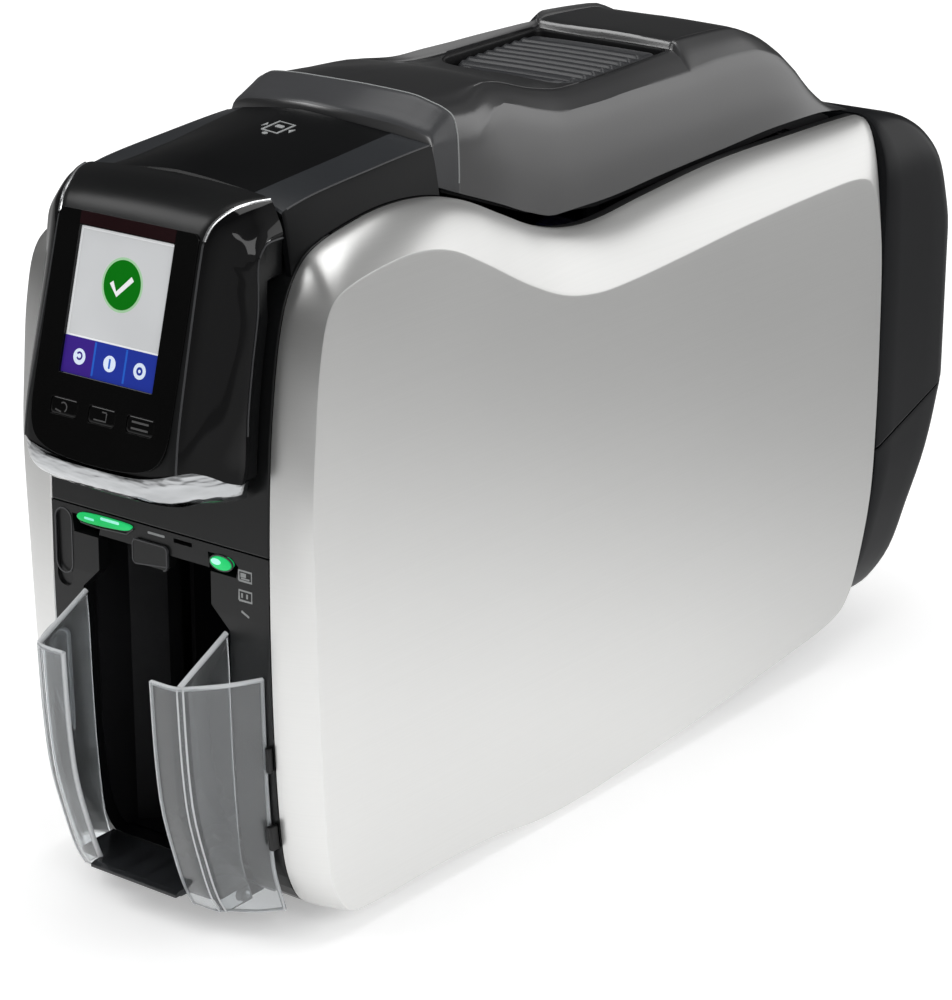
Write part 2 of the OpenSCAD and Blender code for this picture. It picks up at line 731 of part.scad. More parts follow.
// A key with a flange behind the window that keeps it in
module key(k) {
  color([0.04, 0.04, 0.04]) on_face() translate([key_xs[k], key_up, 0]) {
    translate([0, 0, -key_depth]) linear_extrude(key_depth + 0.2) rounded([key_w, key_h], 1.2);
    translate([0, 0, -key_depth]) linear_extrude(key_depth - window_t - seat_gap)
      rounded([key_w + 2.4, key_h + 2.4], 1.6);
  }
}

module key_left() { key(0); }
module key_middle() { key(1); }
module key_right() { key(2); }

module head_frame() {
  color([0.13, 0.13, 0.14]) side_plate(-core_x, core_x) intersection() {
    band_2d();
    translate([front_y - 1, frame_split_z + seat_gap / 2]) square([60, 200]);
  }
}

// ---------- top deck and ribbon door ----------

// Front edge of the door, bowed towards the front in the middle
function door_front(x) = front_y + 99 - 14 * (1 - pow(x / (door_half - 0.3), 2));

deck_low = [[-196, 262], [-188, 269], [-180, 274], [-118, 281], [-100, 282]];
deck_top = [[-196, 273.5], [-188, 279.5], [-180, 282.5], [-150, 285.6], [-118, 288], [-100, 289]];
deck_mid = [[-196, 279], [-180, 284.6], [-150, 288.2], [-118, 290.6], [-100, 291]];

// Height of the deck's surface at a place
function deck_z(x, y) = let (a = abs(x), top = lookup(y, deck_top), mid = lookup(y, deck_mid))
  a < 43.5 ? lerp(mid, top, pow(a / 43.5, 2))
    : lerp(top, lookup(y, deck_low), min(1, (a - 43.5) / 6.8));

deck_xs = [-50.3, -43.5, -32, -16, 0, 16, 32, 43.5, 50.3];
deck_ts = [0, 0.06, 0.12, 0.2, 0.3, 0.4, 0.5, 0.6, 0.7, 0.8, 0.9, 1];

function deck_row(t, d) =
  let (rim_p = function (s) let (y = lerp(deck_front, door_front(49) - move_gap, t))
    [s * (core_x - 0.6 - d), y, silver_z(y) + seat_gap])
  concat([rim_p(-1)],
    [for (x = deck_xs) let (y = lerp(deck_front, door_front(min(49, abs(x))) - move_gap, t),
      side = abs(x) > 50) [side ? x - sign(x) * d : x, y, deck_z(x, y) - (side ? d * 0.4 : d)]],
    [rim_p(1)]);

module top_deck() {
  color([0.16, 0.16, 0.17])
    sheet([for (t = deck_ts) deck_row(t, 0)], [for (t = deck_ts) deck_row(t, door_t)]);
}

door_skirt = [[-130, 270], [-113, 265], [-53, 244], [-34, 240], [-7, 237.4], [62, 240.4],
  [137, 244.6], [172, 243.4], [176, 243]];
door_shoulder = [[-130, 287], [-112, 288], [-98, 291], [-77, 291], [-65, 287.8], [-38, 279.4],
  [-25, 276.6], [0, 276.8], [16, 277.8], [60, 278.2], [83, 279.8], [108, 279.4], [124, 275.4],
  [136, 269], [151, 256], [166, 247], [176, 244.8]];
door_ridge = [[-130, 296], [-98, 296], [-57, 291.6], [-31, 285], [-14, 282.4], [0, 282.2],
  [16, 283], [51, 285.4], [60, 286], [100, 287.4], [114, 285], [136, 275], [150, 262.5],
  [166, 249.6], [176, 245.6]];
door_mid = [[-130, crown_z], [-98, crown_z], [-57, 294.4], [-40, 289.4], [-26, 286], [-13.5, 284],
  [-10.4, pad_z - 7.3], [57, pad_z - 1.8], [60.5, pad_z - 1.4], [63, hood_z - 0.8],
  [72, hood_z], [100, hood_z - 0.6], [114, 286.4], [136, 276.2], [150, 264], [166, 250.4],
  [176, 246]];
// Extra height of the ridge on the left, which runs straighter than the right one
left_rise = [[-98, 0], [-57, 1], [-31, 5.6], [-14, 8.2], [0, 8.4], [16, 7.8], [51, 5.4],
  [60, 4.8], [90, 3.6], [107, 2.8], [125, 1.4], [140, 0.4], [150, 0]];
rise_share = [0, 0.35, 0.75, 0.9, 1, 1, 0.8, 0.2, 0];

// Door surface at one of the columns from the left skirt to the right one
door_cols = [[49.3, 0], [48.7, 1], [46.4, 2], [43, 3], [shoulder_x, 4], [pad_w / 2 + 3.6, 5],
  [pad_w / 2 + 2.6, 6], [12, 7], [0, 8]];

function door_height(c, y, side) =
  let (k = lookup(y, door_skirt), s = lookup(y, door_shoulder), r = lookup(y, door_ridge),
    m = lookup(y, door_mid), well = c > 5 && y > -11 && y < 59.5,
    rise = side < 0 && !well ? rise_share[c] * lookup(y, left_rise) : 0)
    rise + (c == 0 ? k : c == 1 ? lerp(k, s, 0.42) : c == 2 ? lerp(k, s, 0.82) : c == 3 ? s
      : c == 4 ? lerp(s, r, 0.65) : c == 5 ? r
      : c == 6 ? (well ? m : lerp(r, m, 0.4)) : c == 7 ? lerp(r, m, well ? 1 : 0.88) : m);

// Rows of the door: distance behind the bowed front edge or a fixed place along Y,
// share of the full height above the deck, and the step of the rim
door_rows = [
  [0, 0, 0, 0], [0.8, 0, 0.22, 0], [5, 0, 0.55, 0], [10, 0, 0.85, 0.2], [14, 0, 1, 1.4],
  [15.6, 0, 1, 1.3], [16.4, 0, 1, 0], [0, -84, 1, 0], [0, -70, 1, 0], [0, -57, 1, 0],
  [0, -42, 1, 0], [0, -30, 1, 0], [0, -20, 1, 0], [0, -13.5, 1, 0], [0, -10.4, 1, 0],
  [0, 5, 1, 0], [0, 28, 1, 0], [0, 57, 1, 0],
  [0, 60.5, 1, 0], [0, 63, 1, 0], [0, 72, 1, 0], [0, 90, 1, 0], [0, 101, 1, 0], [0, 110, 1, 0],
  [0, 120, 1, 0], [0, 130, 1, 0], [0, 140, 1, 0], [0, 150, 1, 0], [0, 160, 1, 0],
  [0, 168, 1, 0], [0, door_rear, 1, 0]
];

function door_point(row, col, side, d) =
  let (x = col[0], y = row[1] == 0 ? door_front(x) + row[0] : row[1],
    z = door_height(col[1], y, side), base = col[1] == 0 ? z : min(z, deck_z(x, y) - 1.2),
    h = lerp(base, z, row[2]) + (col[1] > 1 ? row[3] : 0),
    dx = col[1] < 3 ? d : col[1] == 3 ? d * 0.8 : col[1] == 5 || col[1] == 6 ? -0.6 * d : 0,
    dz = col[1] < 3 ? 0.1 * d * col[1] : d)
    [side * (x - dx), y + (row[0] > 0 && row[0] < 12 ? 0.2 * d : 0), h - dz];

function door_grid(d) = [
  for (r = door_rows) concat(
    [for (c = door_cols) door_point(r, c, -1, d)],
    [for (k = [len(door_cols) - 2:-1:0]) door_point(r, door_cols[k], 1, d)])
];

module ribbon_door() {
  color([0.3, 0.3, 0.31]) difference() {
    sheet(door_grid(0), door_grid(door_t));
    for (s = [-1, 1]) stem_slot(s, 260, 300);
  }
}

// Slot in the door for a stem of the latch
module stem_slot(side, z0, z1) {
  translate([side * stem_x - stem_w / 2 - move_gap, stem_y - 4 - move_gap, z0])
    cube([stem_w + 2 * move_gap, 8 + 2 * move_gap + 3, z1 - z0]);
}

// Rails inside the door with the arms that turn on the hinge pin
module door_liner() {
  color([0.08, 0.08, 0.09]) for (s = [0, 1]) mirror([s, 0, 0]) {
    difference() {
      side_plate(liner_x, liner_x + 3) polygon(concat(
        [for (y = [-104, -80, -53, -34, -7, 28, 62, 100, 130]) [y, lookup(y, door_skirt) + 10]],
        [[150, 248.4], [164, 242.6], [hinge_y + 5, hinge_z + 2], [hinge_y + 3, hinge_z - 4],
         [hinge_y - 3, hinge_z - 4], [hinge_y - 12, hinge_z + 2]],
        [for (y = [130, 100, 62, 28, -7, -34, -53, -80, -104]) [y, lookup(y, door_skirt) - 1]]
      ));
      rod(liner_x - 1, liner_x + 5, hinge_y, hinge_z, pin_d + 2 * run_gap);
    }
  }
  // Cross ribs between the rails
  color([0.08, 0.08, 0.09]) for (y = [-96, 100])
    translate([-liner_x - 0.5, y, lookup(y, door_skirt) + 2]) cube([2 * liner_x + 1, 3, 7]);
}

module hinge_pin() {
  color([0.7, 0.7, 0.72]) rod(-core_x, core_x, hinge_y, hinge_z, pin_d);
}

// Tray in the door's recess with the bearings of the latch pad
module pad_well() {
  half = pad_w / 2 + 2;
  color([0.05, 0.05, 0.05]) difference() {
    side_plate(-half, half) polygon([
      [-9, pad_z - 7.1], [57, pad_z - 1.7], [57, pad_z + 5], [49.5, pad_z + 5],
      [47, pad_z + 0.4], [-7, pad_z - 2.6], [-9, pad_z - 3]
    ]);
    // Room for the pad between the side rails
    side_plate(-pad_w / 2 - move_gap, pad_w / 2 + move_gap) polygon([
      [-7.5, pad_z - 5.8], [60, pad_z - 0.3], [60, 295], [-7.5, 295]
    ]);
    rod(-half - 1, half + 1, pad_hinge[0], pad_hinge[1], pad_pin_d + 2 * run_gap);
    for (s = [-1, 1]) stem_slot(s, 268, 300);
  }
}

// Ribbed pad that is pressed to open the door
module latch_pad() {
  color([0.2, 0.2, 0.21]) {
    difference() {
      side_plate(-pad_w / 2, pad_w / 2) polygon([
        [pad_front, pad_z - 0.4], [pad_front + 2, pad_z + 1.4], [pad_rear - 3, pad_z + 4.6],
        [pad_rear - 0.6, pad_z + 4.2], [pad_rear - 0.6, pad_z + 1.6], [pad_front, pad_z - 1.8]
      ]);
      // Rounded corners
      for (s = [-1, 1]) translate([s * pad_w / 2, pad_front, pad_z - 6]) difference() {
        translate([-9, -1, 0]) cube([18, 10, 20]);
        translate([-s * 9, 9, -1]) cylinder(h = 22, r = 9, $fn = facets);
      }
    }
    for (k = [0:pad_ribs - 1]) {
      y = pad_front + 5 + k * (pad_l - 19) / (pad_ribs - 1);
      translate([0, y, pad_z + 1.2 + (y - pad_front) * 0.06]) rotate([0, 90, 0])
        cylinder(h = pad_w - 12, d = 2.4, center = true, $fn = 12);
    }
    rod(-pad_w / 2 - 1.8, pad_w / 2 + 1.8, pad_hinge[0], pad_hinge[1], pad_pin_d);
  }
}

// Stems, cross bar and hooks of the latch under the door
module latch_hook() {
  color([0.6, 0.6, 0.62]) {
    for (s = [-1, 1]) {
      translate([s * stem_x - stem_w / 2, stem_y - 3, bar_z]) cube([stem_w, 6, pad_z - bar_z - 1.4]);
      side_plate(s * hook_x - 1.5, s * hook_x + 1.5) polygon([
        [stem_y - 4, bar_z + 4], [stem_y + 4, bar_z + 4], [stem_y + 2, strike_z - 6],
        [strike_y + 2.2, strike_z - 6], [strike_y + 2.2, strike_z + 0.4],
        [stem_y - 4, strike_z + 2]
      ]);
    }
    translate([-hook_x, stem_y - 4, bar_z]) cube([2 * hook_x, 8, 4]);
  }
}

// ---------- ribbon bay and mechanism ----------

// Tub under the door that carries the ribbon, open over the platen roller
module ribbon_bay() {
  half = wall_in - seat_gap;
  color([0.12, 0.12, 0.13]) {
    side_plate(-half, half) {
      // Front wall and floor up to the platen
      polygon([
        [-126, 250], [-123.6, 250], [-116, 232], [-116, 166], [-96, 158], [platen_y - 18, 154],
        [platen_y - 18, 151.6], [-97, 155.6], [-118.4, 164], [-118.4, 231]
      ]);
      // Floor and rear wall behind the platen
      polygon([
        [platen_y + 28, 151.6], [platen_y + 28, 154], [40, 154], [62, 156], [92, 162],
        [104, 176], [140, 214], [150, 226], [152.4, 226], [152.4, 223], [142, 211], [106, 173.6],
        [93.6, 159.8], [62.4, 153.6], [40, 151.6]
      ]);
    }
    // Posts with the strike pegs of the latch
    for (s = [-1, 1]) {
      translate([s * 34.5 - 1, strike_y - 6.2, 152.6]) cube([2, 8, strike_z + 3.4 - 152.6]);
      rod(min(s * 34.5, s * (hook_x + 2.2)), max(s * 34.5, s * (hook_x + 2.2)),
        strike_y, strike_z, 3.6);
    }
  }
}

module roller(y, length) {
  color([0.13, 0.13, 0.13]) translate([hopper_x, 0, 0]) difference() {
    union() {
      rod(-length / 2, length / 2, y, roller_z, roller_d);
      rod(-length / 2 - 3, length / 2 + 3, y, roller_z, roller_d - 4);
    }
    rod(-length, length, y, roller_z, shaft_d);
  }
}

module axle(y) {
  color([0.75, 0.75, 0.77]) rod(gear_x - gear_w / 2 - 1.5, core_x + 1, y, roller_z, shaft_d);
}

// A gear outside the left wall, turned by the given angle about its axis
module side_gear(teeth, y, z, turn, bore, web) {
  translate([gear_x - gear_w / 2, y, z]) rotate([turn, 0, 0]) rotate([90, 0, 90])
    difference() {
      union() {
        linear_extrude(gear_w) gear_2d(teeth);
        translate([0, 0, -0.9]) cylinder(h = 1, d = bore + 4, $fn = facets);
      }
      translate([0, 0, -2]) cylinder(h = gear_w + 3, d = bore, $fn = facets);
      if (web) translate([0, 0, gear_w - 1.6]) linear_extrude(2.6) difference() {
        circle(d = gear_m * (teeth - 4.5), $fn = facets);
        circle(d = bore + 5, $fn = facets);
      }
    }
}

module feed_roller() { roller(feed_y, rubber_l - 16); }
module transport_roller() { roller(transport_y, rubber_l); }
module platen_roller() { roller(platen_y, rubber_l); }
module feed_axle() { axle(feed_y); }
module transport_axle() { axle(transport_y); }
module platen_axle() { axle(platen_y); }

module roller_gear(y) {
  color([0.85, 0.85, 0.8]) side_gear(gear_teeth, y, roller_z, 0, shaft_d, true);
}
module feed_gear() { roller_gear(feed_y); }
module transport_gear() { roller_gear(transport_y); }
module platen_gear() { roller_gear(platen_y); }

module idler(y) {
  color([0.85, 0.85, 0.8]) side_gear(idler_teeth, y, roller_z, 180 / idler_teeth,
    shaft_d + 2 * run_gap, true);
}
module front_idler() { idler(idler_ys[0]); }
module rear_idler() { idler(idler_ys[1]); }

module motor_pinion() {
  color([0.75, 0.7, 0.5]) {
    side_gear(pinion_teeth, motor_y, pinion_z, 90, motor_shaft_d - 1, false);
    rod(gear_x - gear_w / 2, 14 - wall_in, motor_y, pinion_z, motor_shaft_d);
  }
}

module drive_motor() {
  color([0.7, 0.7, 0.72]) difference() {
    union() {
      rod(1 - wall_in, 2.6 - wall_in, motor_y, pinion_z, 30);
      rod(2.6 - wall_in, 34 - wall_in, motor_y, pinion_z, 24);
      rod(34 - wall_in, 35.2 - wall_in, motor_y, pinion_z, 9);
      rod(-wall_in - wall_t + 0.4, 1 - wall_in, motor_y, pinion_z, motor_boss_d);
      translate([1 - wall_in, motor_y - 18, pinion_z - 4]) cube([1.6, 36, 8]);
    }
    rod(-core_x - 1, 15 - wall_in, motor_y, pinion_z, motor_shaft_d + 2 * run_gap);
  }
}

// A ribbon core with flanges, pins for the wall bores and a driven end
module spool(y) {
  color([0.8, 0.8, 0.82]) {
    rod(-film_w / 2 - 2, film_w / 2 + 2, y, spool_z, core_d);
    for (s = [-1, 1]) {
      rod(s * (film_w / 2 + 3) - 1, s * (film_w / 2 + 3) + 1, y, spool_z, core_d + 5);
      for (a = [0:60:300])
        translate([s * (film_w / 2 + 5) - 1.5, y, spool_z]) rotate([a, 0, 0])
          translate([0, -1, 0]) cube([3, 2, core_d / 2 - 0.5]);
    }
    rod(-wall_in - wall_t + 0.3, wall_in + wall_t - 0.3, y, spool_z, spool_pin_d);
  }
}

module ribbon_roll(y, d) {
  color([0.1, 0.1, 0.25]) difference() {
    rod(-film_w / 2, film_w / 2, y, spool_z, d);
    rod(-film_w, film_w, y, spool_z, core_d);
  }
}

module supply_core() { spool(supply_y); }
module supply_roll() { ribbon_roll(supply_y, ribbon_d); }
module takeup_core() { spool(takeup_y); }
module takeup_roll() { ribbon_roll(takeup_y, core_d + 5); }

// Arm that presses the printhead on the platen roller
module printhead_carriage() {
  half = 31;
  top = head_edge_z + 3;
  color([0.3, 0.3, 0.32]) {
    difference() {
      union() {
        side_plate(-half, half) polygon([
          [platen_y - 9, top + 0.3], [platen_y + 9, top + 0.3], [platen_y + 14, top + 10],
          [head_hinge[0] - 9, head_hinge[1] + 2], [head_hinge[0] - 9, head_hinge[1] + 6],
          [platen_y + 12, top + 16], [platen_y - 4, top + 16], [platen_y - 9, top + 8]
        ]);
        for (s = [-1, 1]) side_plate(s * (half - 2) - 2, s * (half - 2) + 2) polygon([
          [head_hinge[0] - 14, head_hinge[1] - 3], [head_hinge[0] + 1, head_hinge[1] - 5],
          [head_hinge[0] + 5, head_hinge[1]], [head_hinge[0] + 1, head_hinge[1] + 5],
          [head_hinge[0] - 14, head_hinge[1] + 7]
        ]);
      }
      // Weight-saving windows in the arm
      for (x = [-18, 0, 18]) translate([x - 6, platen_y + 18, 130]) cube([12, 24, 70]);
    }
    rod(-half - 4.6, half + 4.6, head_hinge[0], head_hinge[1], 4);
  }
}

// Print bar with its rounded burning edge
module printhead_bar() {
  color([0.75, 0.7, 0.6]) side_plate(-film_w / 2, film_w / 2) polygon([
    [platen_y - 6, head_edge_z + 0.8], [platen_y - 2, head_edge_z + 0.6],
    [platen_y - 1, head_edge_z], [platen_y + 1, head_edge_z], [platen_y + 2, head_edge_z + 0.6],
    [platen_y + 8, head_edge_z + 0.8], [platen_y + 8, head_edge_z + 3],
    [platen_y - 6, head_edge_z + 3]
  ]);
}

// Bearings of the printhead arm on the bay's floor
module head_bearings() {
  color([0.15, 0.15, 0.16]) for (s = [-1, 1]) difference() {
    side_plate(s * 34.4 - 1.6, s * 34.4 + 1.6) polygon([
      [head_hinge[0] - 7, 154.3], [40.5, 154.3], [head_hinge[0] + 8, 155.4],
      [head_hinge[0] + 5, head_hinge[1] + 4], [head_hinge[0] - 5, head_hinge[1] + 4]
    ]);
    rod(-40, 40, head_hinge[0], head_hinge[1], 4 + 2 * run_gap);
  }
}

module mainboard() {
  color([0.05, 0.3, 0.12]) {
    translate([-38, 0, board_z]) cube([76, 130, 1.6]);
    for (c = [[-20, 30, 14, 14, 3], [8, 34, 18, 12, 2.4], [-28, 70, 10, 24, 9], [12, 74, 22, 22, 4],
      [-30, 104, 12, 12, 14], [-8, 104, 12, 12, 14]])
      translate([c[0], c[1], board_z + 1.5]) cube([c[2], c[3], c[4]]);
    for (x = [-34, 34], y = [6, 124]) translate([x, y, floor_top(y + 3)])
      cylinder(h = board_z - floor_top(y + 3) + 0.1, d = 5, $fn = 24);
  }
}

// ---------- rear housing ----------

// Back face and front face of the rear housing at a height
back_face = [[22, 186], [40, 205], [60, 218], [84, 233], [106, 241], [118, rear_y], [182, rear_y],
  [200, 240], [216, 234], [228, 224], [236, 212], [242, 190]];
front_face = [[22, 150], [30, 158.5], [49, 169], [76, 177],
  [90, panel_rear + 7.3], [300, panel_rear + 7.3]];

// Rounded outline of the rear housing at a height measured at its back face
function housing_ring(z, slope, half, r) =
  let (y0 = lookup(z - slope * 40, front_face), y1 = lookup(z, back_face), rr = min(r, (y1 - y0) / 2.2),
    loop = concat([[half - 2, y0], [half, y0 + 2]],
      [for (a = [0:18:90]) [half - r + r * cos(a), y1 - rr + rr * sin(a)]],
      [for (a = [90:18:180]) [r - half + r * cos(a), y1 - rr + rr * sin(a)]],
      [[-half, y0 + 2], [2 - half, y0]]))
    [for (p = loop) [p[0], p[1], z - slope * (y1 - p[1])]];

module rear_housing() {
  color([0.1, 0.1, 0.11]) difference() {
    ring_loft([
      housing_ring(114, 0.35, housing_half, 14), housing_ring(118, 0.33, housing_half, 14),
      housing_ring(136, 0.22, housing_half, 14), housing_ring(156, 0.12, housing_half, 14),
      housing_ring(182, 0.03, housing_half, 14), housing_ring(200, 0, housing_half, 14),
      housing_ring(216, 0, housing_half - 0.6, 14), housing_ring(228, 0, housing_half - 3, 13),
      housing_ring(236, 0, housing_half - 7, 12), housing_ring(240, 0, housing_half - 11, 10),
      housing_ring(242, 0, housing_half - 15, 8)
    ]);
    translate([inlet_x - 15.2, rear_y - 14, port_z - 11.2]) cube([30.4, 30, 22.4]);
    translate([ports_x - 22.2, rear_y - 14, port_z - 9.2]) cube([44.4, 30, 18.4]);
  }
}

module rear_lower_cover() {
  color([0.09, 0.09, 0.1]) difference() {
    ring_loft([
      housing_ring(22, 0, housing_half - 12, 6), housing_ring(28, 0.02, housing_half - 6, 8),
      housing_ring(40, 0.06, housing_half - 2, 10), housing_ring(60, 0.14, housing_half - 0.4, 13),
      housing_ring(84, 0.24, housing_half, 14), housing_ring(104, 0.32, housing_half, 14),
      housing_ring(113.6, 0.35, housing_half, 14)
    ]);
    // Air slots across the slope
    for (x = [-36:12:36]) translate([x - 3, 200, 30]) cube([6, 24, 30]);
  }
}

// Power socket with three blades in a keyed recess
module power_inlet() {
  translate([inlet_x, rear_y - 14, port_z]) {
    color([0.03, 0.03, 0.03]) difference() {
      translate([-15, 0, -11]) cube([30, 14.6, 22]);
      translate([0, 16, 0]) rotate([90, 0, 0]) linear_extrude(13) polygon([
        [-12, -8.5], [12, -8.5], [12, 4], [7.5, 8.5], [-7.5, 8.5], [-12, 4]
      ]);
    }
    color([0.7, 0.6, 0.4]) for (x = [-7, 0, 7])
      translate([x - 1, 2.5, x == 0 ? 0.5 : -3.5]) cube([2, 8, 4]);
  }
}

// Square data socket and network socket side by side
module data_ports() {
  translate([ports_x, rear_y - 14, port_z]) color([0.6, 0.6, 0.62]) difference() {
    translate([-22, 0, -9]) cube([44, 14.4, 18]);
    translate([-16, 3, -5]) cube([9, 13, 9]);
    translate([1, 3, -6.5]) cube([14, 13, 11]);
    translate([5, 3, 4]) cube([6, 13, 2.5]);
  }
}

// ---------- what is drawn ----------

base_tray();
left_wall();
right_wall();
left_side_panel();
right_side_panel();
hopper_bezel();
head_frame();
top_deck();
head_shell();
head_lip();
head_flanks();
display_window();
display_panel();
key_left();
key_middle();
key_right();
light_guides();
hopper_liner();
wing_left();
wing_right();
wing_bridge();
wing_clips();
lift_plate();
ribbon_bay();
feed_roller();
feed_axle();
feed_gear();
transport_roller();
transport_axle();
transport_gear();
platen_roller();
platen_axle();
platen_gear();
front_idler();
rear_idler();
motor_pinion();
drive_motor();
supply_core();
supply_roll();
takeup_core();
takeup_roll();
printhead_carriage();
printhead_bar();
head_bearings();
ribbon_door();
door_liner();
pad_well();
latch_pad();
latch_hook();
hinge_pin();
rear_housing();
rear_lower_cover();
power_inlet();
data_ports();
mainboard();
feet();
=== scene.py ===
"""Looks of a desktop ID card printer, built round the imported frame. Front towards -Y."""
import json
import math

import bmesh
import bpy
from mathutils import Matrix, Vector


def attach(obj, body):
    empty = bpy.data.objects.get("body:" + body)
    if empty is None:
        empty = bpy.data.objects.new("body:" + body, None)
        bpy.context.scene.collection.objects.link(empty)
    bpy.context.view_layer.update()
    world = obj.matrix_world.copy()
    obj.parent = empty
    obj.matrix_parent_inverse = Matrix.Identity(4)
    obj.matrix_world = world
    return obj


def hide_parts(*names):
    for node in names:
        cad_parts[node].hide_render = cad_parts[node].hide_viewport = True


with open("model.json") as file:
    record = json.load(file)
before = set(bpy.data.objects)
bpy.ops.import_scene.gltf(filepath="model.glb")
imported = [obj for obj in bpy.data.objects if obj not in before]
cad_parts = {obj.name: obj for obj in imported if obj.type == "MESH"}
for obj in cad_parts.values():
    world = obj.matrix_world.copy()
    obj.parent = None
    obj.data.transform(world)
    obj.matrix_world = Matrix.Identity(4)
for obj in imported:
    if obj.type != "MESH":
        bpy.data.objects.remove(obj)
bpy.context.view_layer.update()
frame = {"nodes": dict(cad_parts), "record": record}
nodes = frame["nodes"]
scene = bpy.context.scene
MM = 0.001
SIDES = ((1, "right"), (-1, "left"))

# ---------------------------------------------------------------- camera
VIEW_AZIMUTH, VIEW_ELEVATION, VIEW_DISTANCE = 38.0, 19.3, 1.302
VIEW_TARGET = Vector((4.55, -30.0, 111.8)) * MM
FOCAL_PX, PHOTO_LONG_SIDE, SENSOR = 3197.26, 1000, 36.0


def make_camera():
    az, el = math.radians(VIEW_AZIMUTH), math.radians(VIEW_ELEVATION)
    back = Vector((math.sin(az) * math.cos(el), -math.cos(az) * math.cos(el), math.sin(el)))
    data = bpy.data.cameras.new("photo_view")
    data.sensor_fit = "AUTO"
    data.sensor_width = SENSOR
    data.lens = FOCAL_PX * SENSOR / PHOTO_LONG_SIDE
    data.clip_start, data.clip_end = 0.01, 50
    data.dof.use_dof = False
    cam = bpy.data.objects.new("photo_view", data)
    scene.collection.objects.link(cam)
    cam.location = VIEW_TARGET + back * VIEW_DISTANCE
    cam.rotation_euler = back.to_track_quat("Z", "Y").to_euler()
    scene.camera = cam


make_camera()


# ---------------------------------------------------------------- curves and tables
def lerp(a, b, t):
    return a + (b - a) * t


def table(pairs, x):
    """Straight-line lookup in a list of (key, value) pairs."""
    if x <= pairs[0][0]:
        return pairs[0][1]
    for (x0, y0), (x1, y1) in zip(pairs, pairs[1:]):
        if x <= x1:
            return y0 + (y1 - y0) * (x - x0) / (x1 - x0)
    return pairs[-1][1]


class Curve:
    """Smooth lookup through (key, value) pairs that doesn't overshoot them."""

    def __init__(self, pairs):
        self.x = [p[0] for p in pairs]
        self.y = [p[1] for p in pairs]
        n = len(pairs)
        h = [self.x[i + 1] - self.x[i] for i in range(n - 1)]
        d = [(self.y[i + 1] - self.y[i]) / h[i] for i in range(n - 1)]
        m = [d[0]] + [0.0] * (n - 2) + [d[-1]]
        for i in range(1, n - 1):
            if d[i - 1] * d[i] > 0:
                w0, w1 = 2 * h[i] + h[i - 1], h[i] + 2 * h[i - 1]
                m[i] = (w0 + w1) / (w0 / d[i - 1] + w1 / d[i])
        self.h, self.m = h, m

    def __call__(self, x):
        if x <= self.x[0]:
            return self.y[0]
        if x >= self.x[-1]:
            return self.y[-1]
        i = max(k for k in range(len(self.h)) if self.x[k] <= x)
        t = (x - self.x[i]) / self.h[i]
        a, b = self.y[i], self.y[i + 1]
        ma, mb = self.m[i] * self.h[i], self.m[i + 1] * self.h[i]
        return (a * (1 + 2 * t) * (1 - t) ** 2 + b * t * t * (3 - 2 * t)
                + ma * t * (1 - t) ** 2 + mb * t * t * (t - 1))


def spline(points, steps, closed=False):
    """Catmull-Rom curve through points of any dimension."""
    n = len(points)
    out = []
    last = n if closed else n - 1
    for i in range(last):
        if closed:
            p0, p1, p2, p3 = points[i - 1], points[i], points[(i + 1) % n], points[(i + 2) % n]
        else:
            p0, p1 = points[max(i - 1, 0)], points[i]
            p2, p3 = points[i + 1], points[min(i + 2, n - 1)]
        for k in range(steps):
            t = k / steps
            out.append(tuple(0.5 * (2 * b + (c - a) * t + (2 * a - 5 * b + 4 * c - d) * t * t
                                    + (3 * b - a - 3 * c + d) * t ** 3)
                             for a, b, c, d in zip(p0, p1, p2, p3)))
    if not closed:
        out.append(tuple(points[-1]))
    return out


def inset(loop, d):
    """Move a clockwise closed loop towards its inside."""
    n = len(loop)
    out = []
    for i in range(n):
        a, b = loop[i - 1], loop[(i + 1) % n]
        e = (b[0] - a[0], b[1] - a[1])
        size = math.hypot(*e)
        out.append((loop[i][0] + d * e[1] / size, loop[i][1] - d * e[0] / size))
    return out


# ---------------------------------------------------------------- mesh makers
# Edges sharper than this many degrees are softened; faces above so many mm2 stay flat
SHARP_EDGE, LARGE_FACE = 30, 4.0


def smooth(obj, angle=32):
    bpy.context.view_layer.objects.active = obj
    obj.select_set(True)
    bpy.ops.object.shade_smooth_by_angle(angle=math.radians(angle))
    obj.select_set(False)


def bake(obj):
    """Turn the modified shape into the object's own mesh."""
    graph = bpy.context.evaluated_depsgraph_get()
    mesh = bpy.data.meshes.new_from_object(obj.evaluated_get(graph))
    obj.modifiers.clear()
    obj.data = mesh


def mesh_object(name, verts, faces, merge=True):
    """An object from points in millimetres, with its faces turned outwards."""
    mesh = bpy.data.meshes.new(name)
    mesh.from_pydata([(v[0] * MM, v[1] * MM, v[2] * MM) for v in verts], [], faces)
    obj = bpy.data.objects.new(name, mesh)
    scene.collection.objects.link(obj)
    bm = bmesh.new()
    bm.from_mesh(mesh)
    if merge:
        bmesh.ops.remove_doubles(bm, verts=bm.verts, dist=1e-6)
    bmesh.ops.recalc_face_normals(bm, faces=bm.faces)
    bm.to_mesh(mesh)
    bm.free()
    return obj


def cutter(verts, faces):
    """A closed shape that only cuts others."""
    return mesh_object("cutter", verts, faces, merge=False)


def soften(obj, width, segments):
    m = obj.modifiers.new("edge", "BEVEL")
    m.width, m.segments, m.limit_method = width * MM, segments, "ANGLE"
    m.angle_limit = math.radians(SHARP_EDGE)


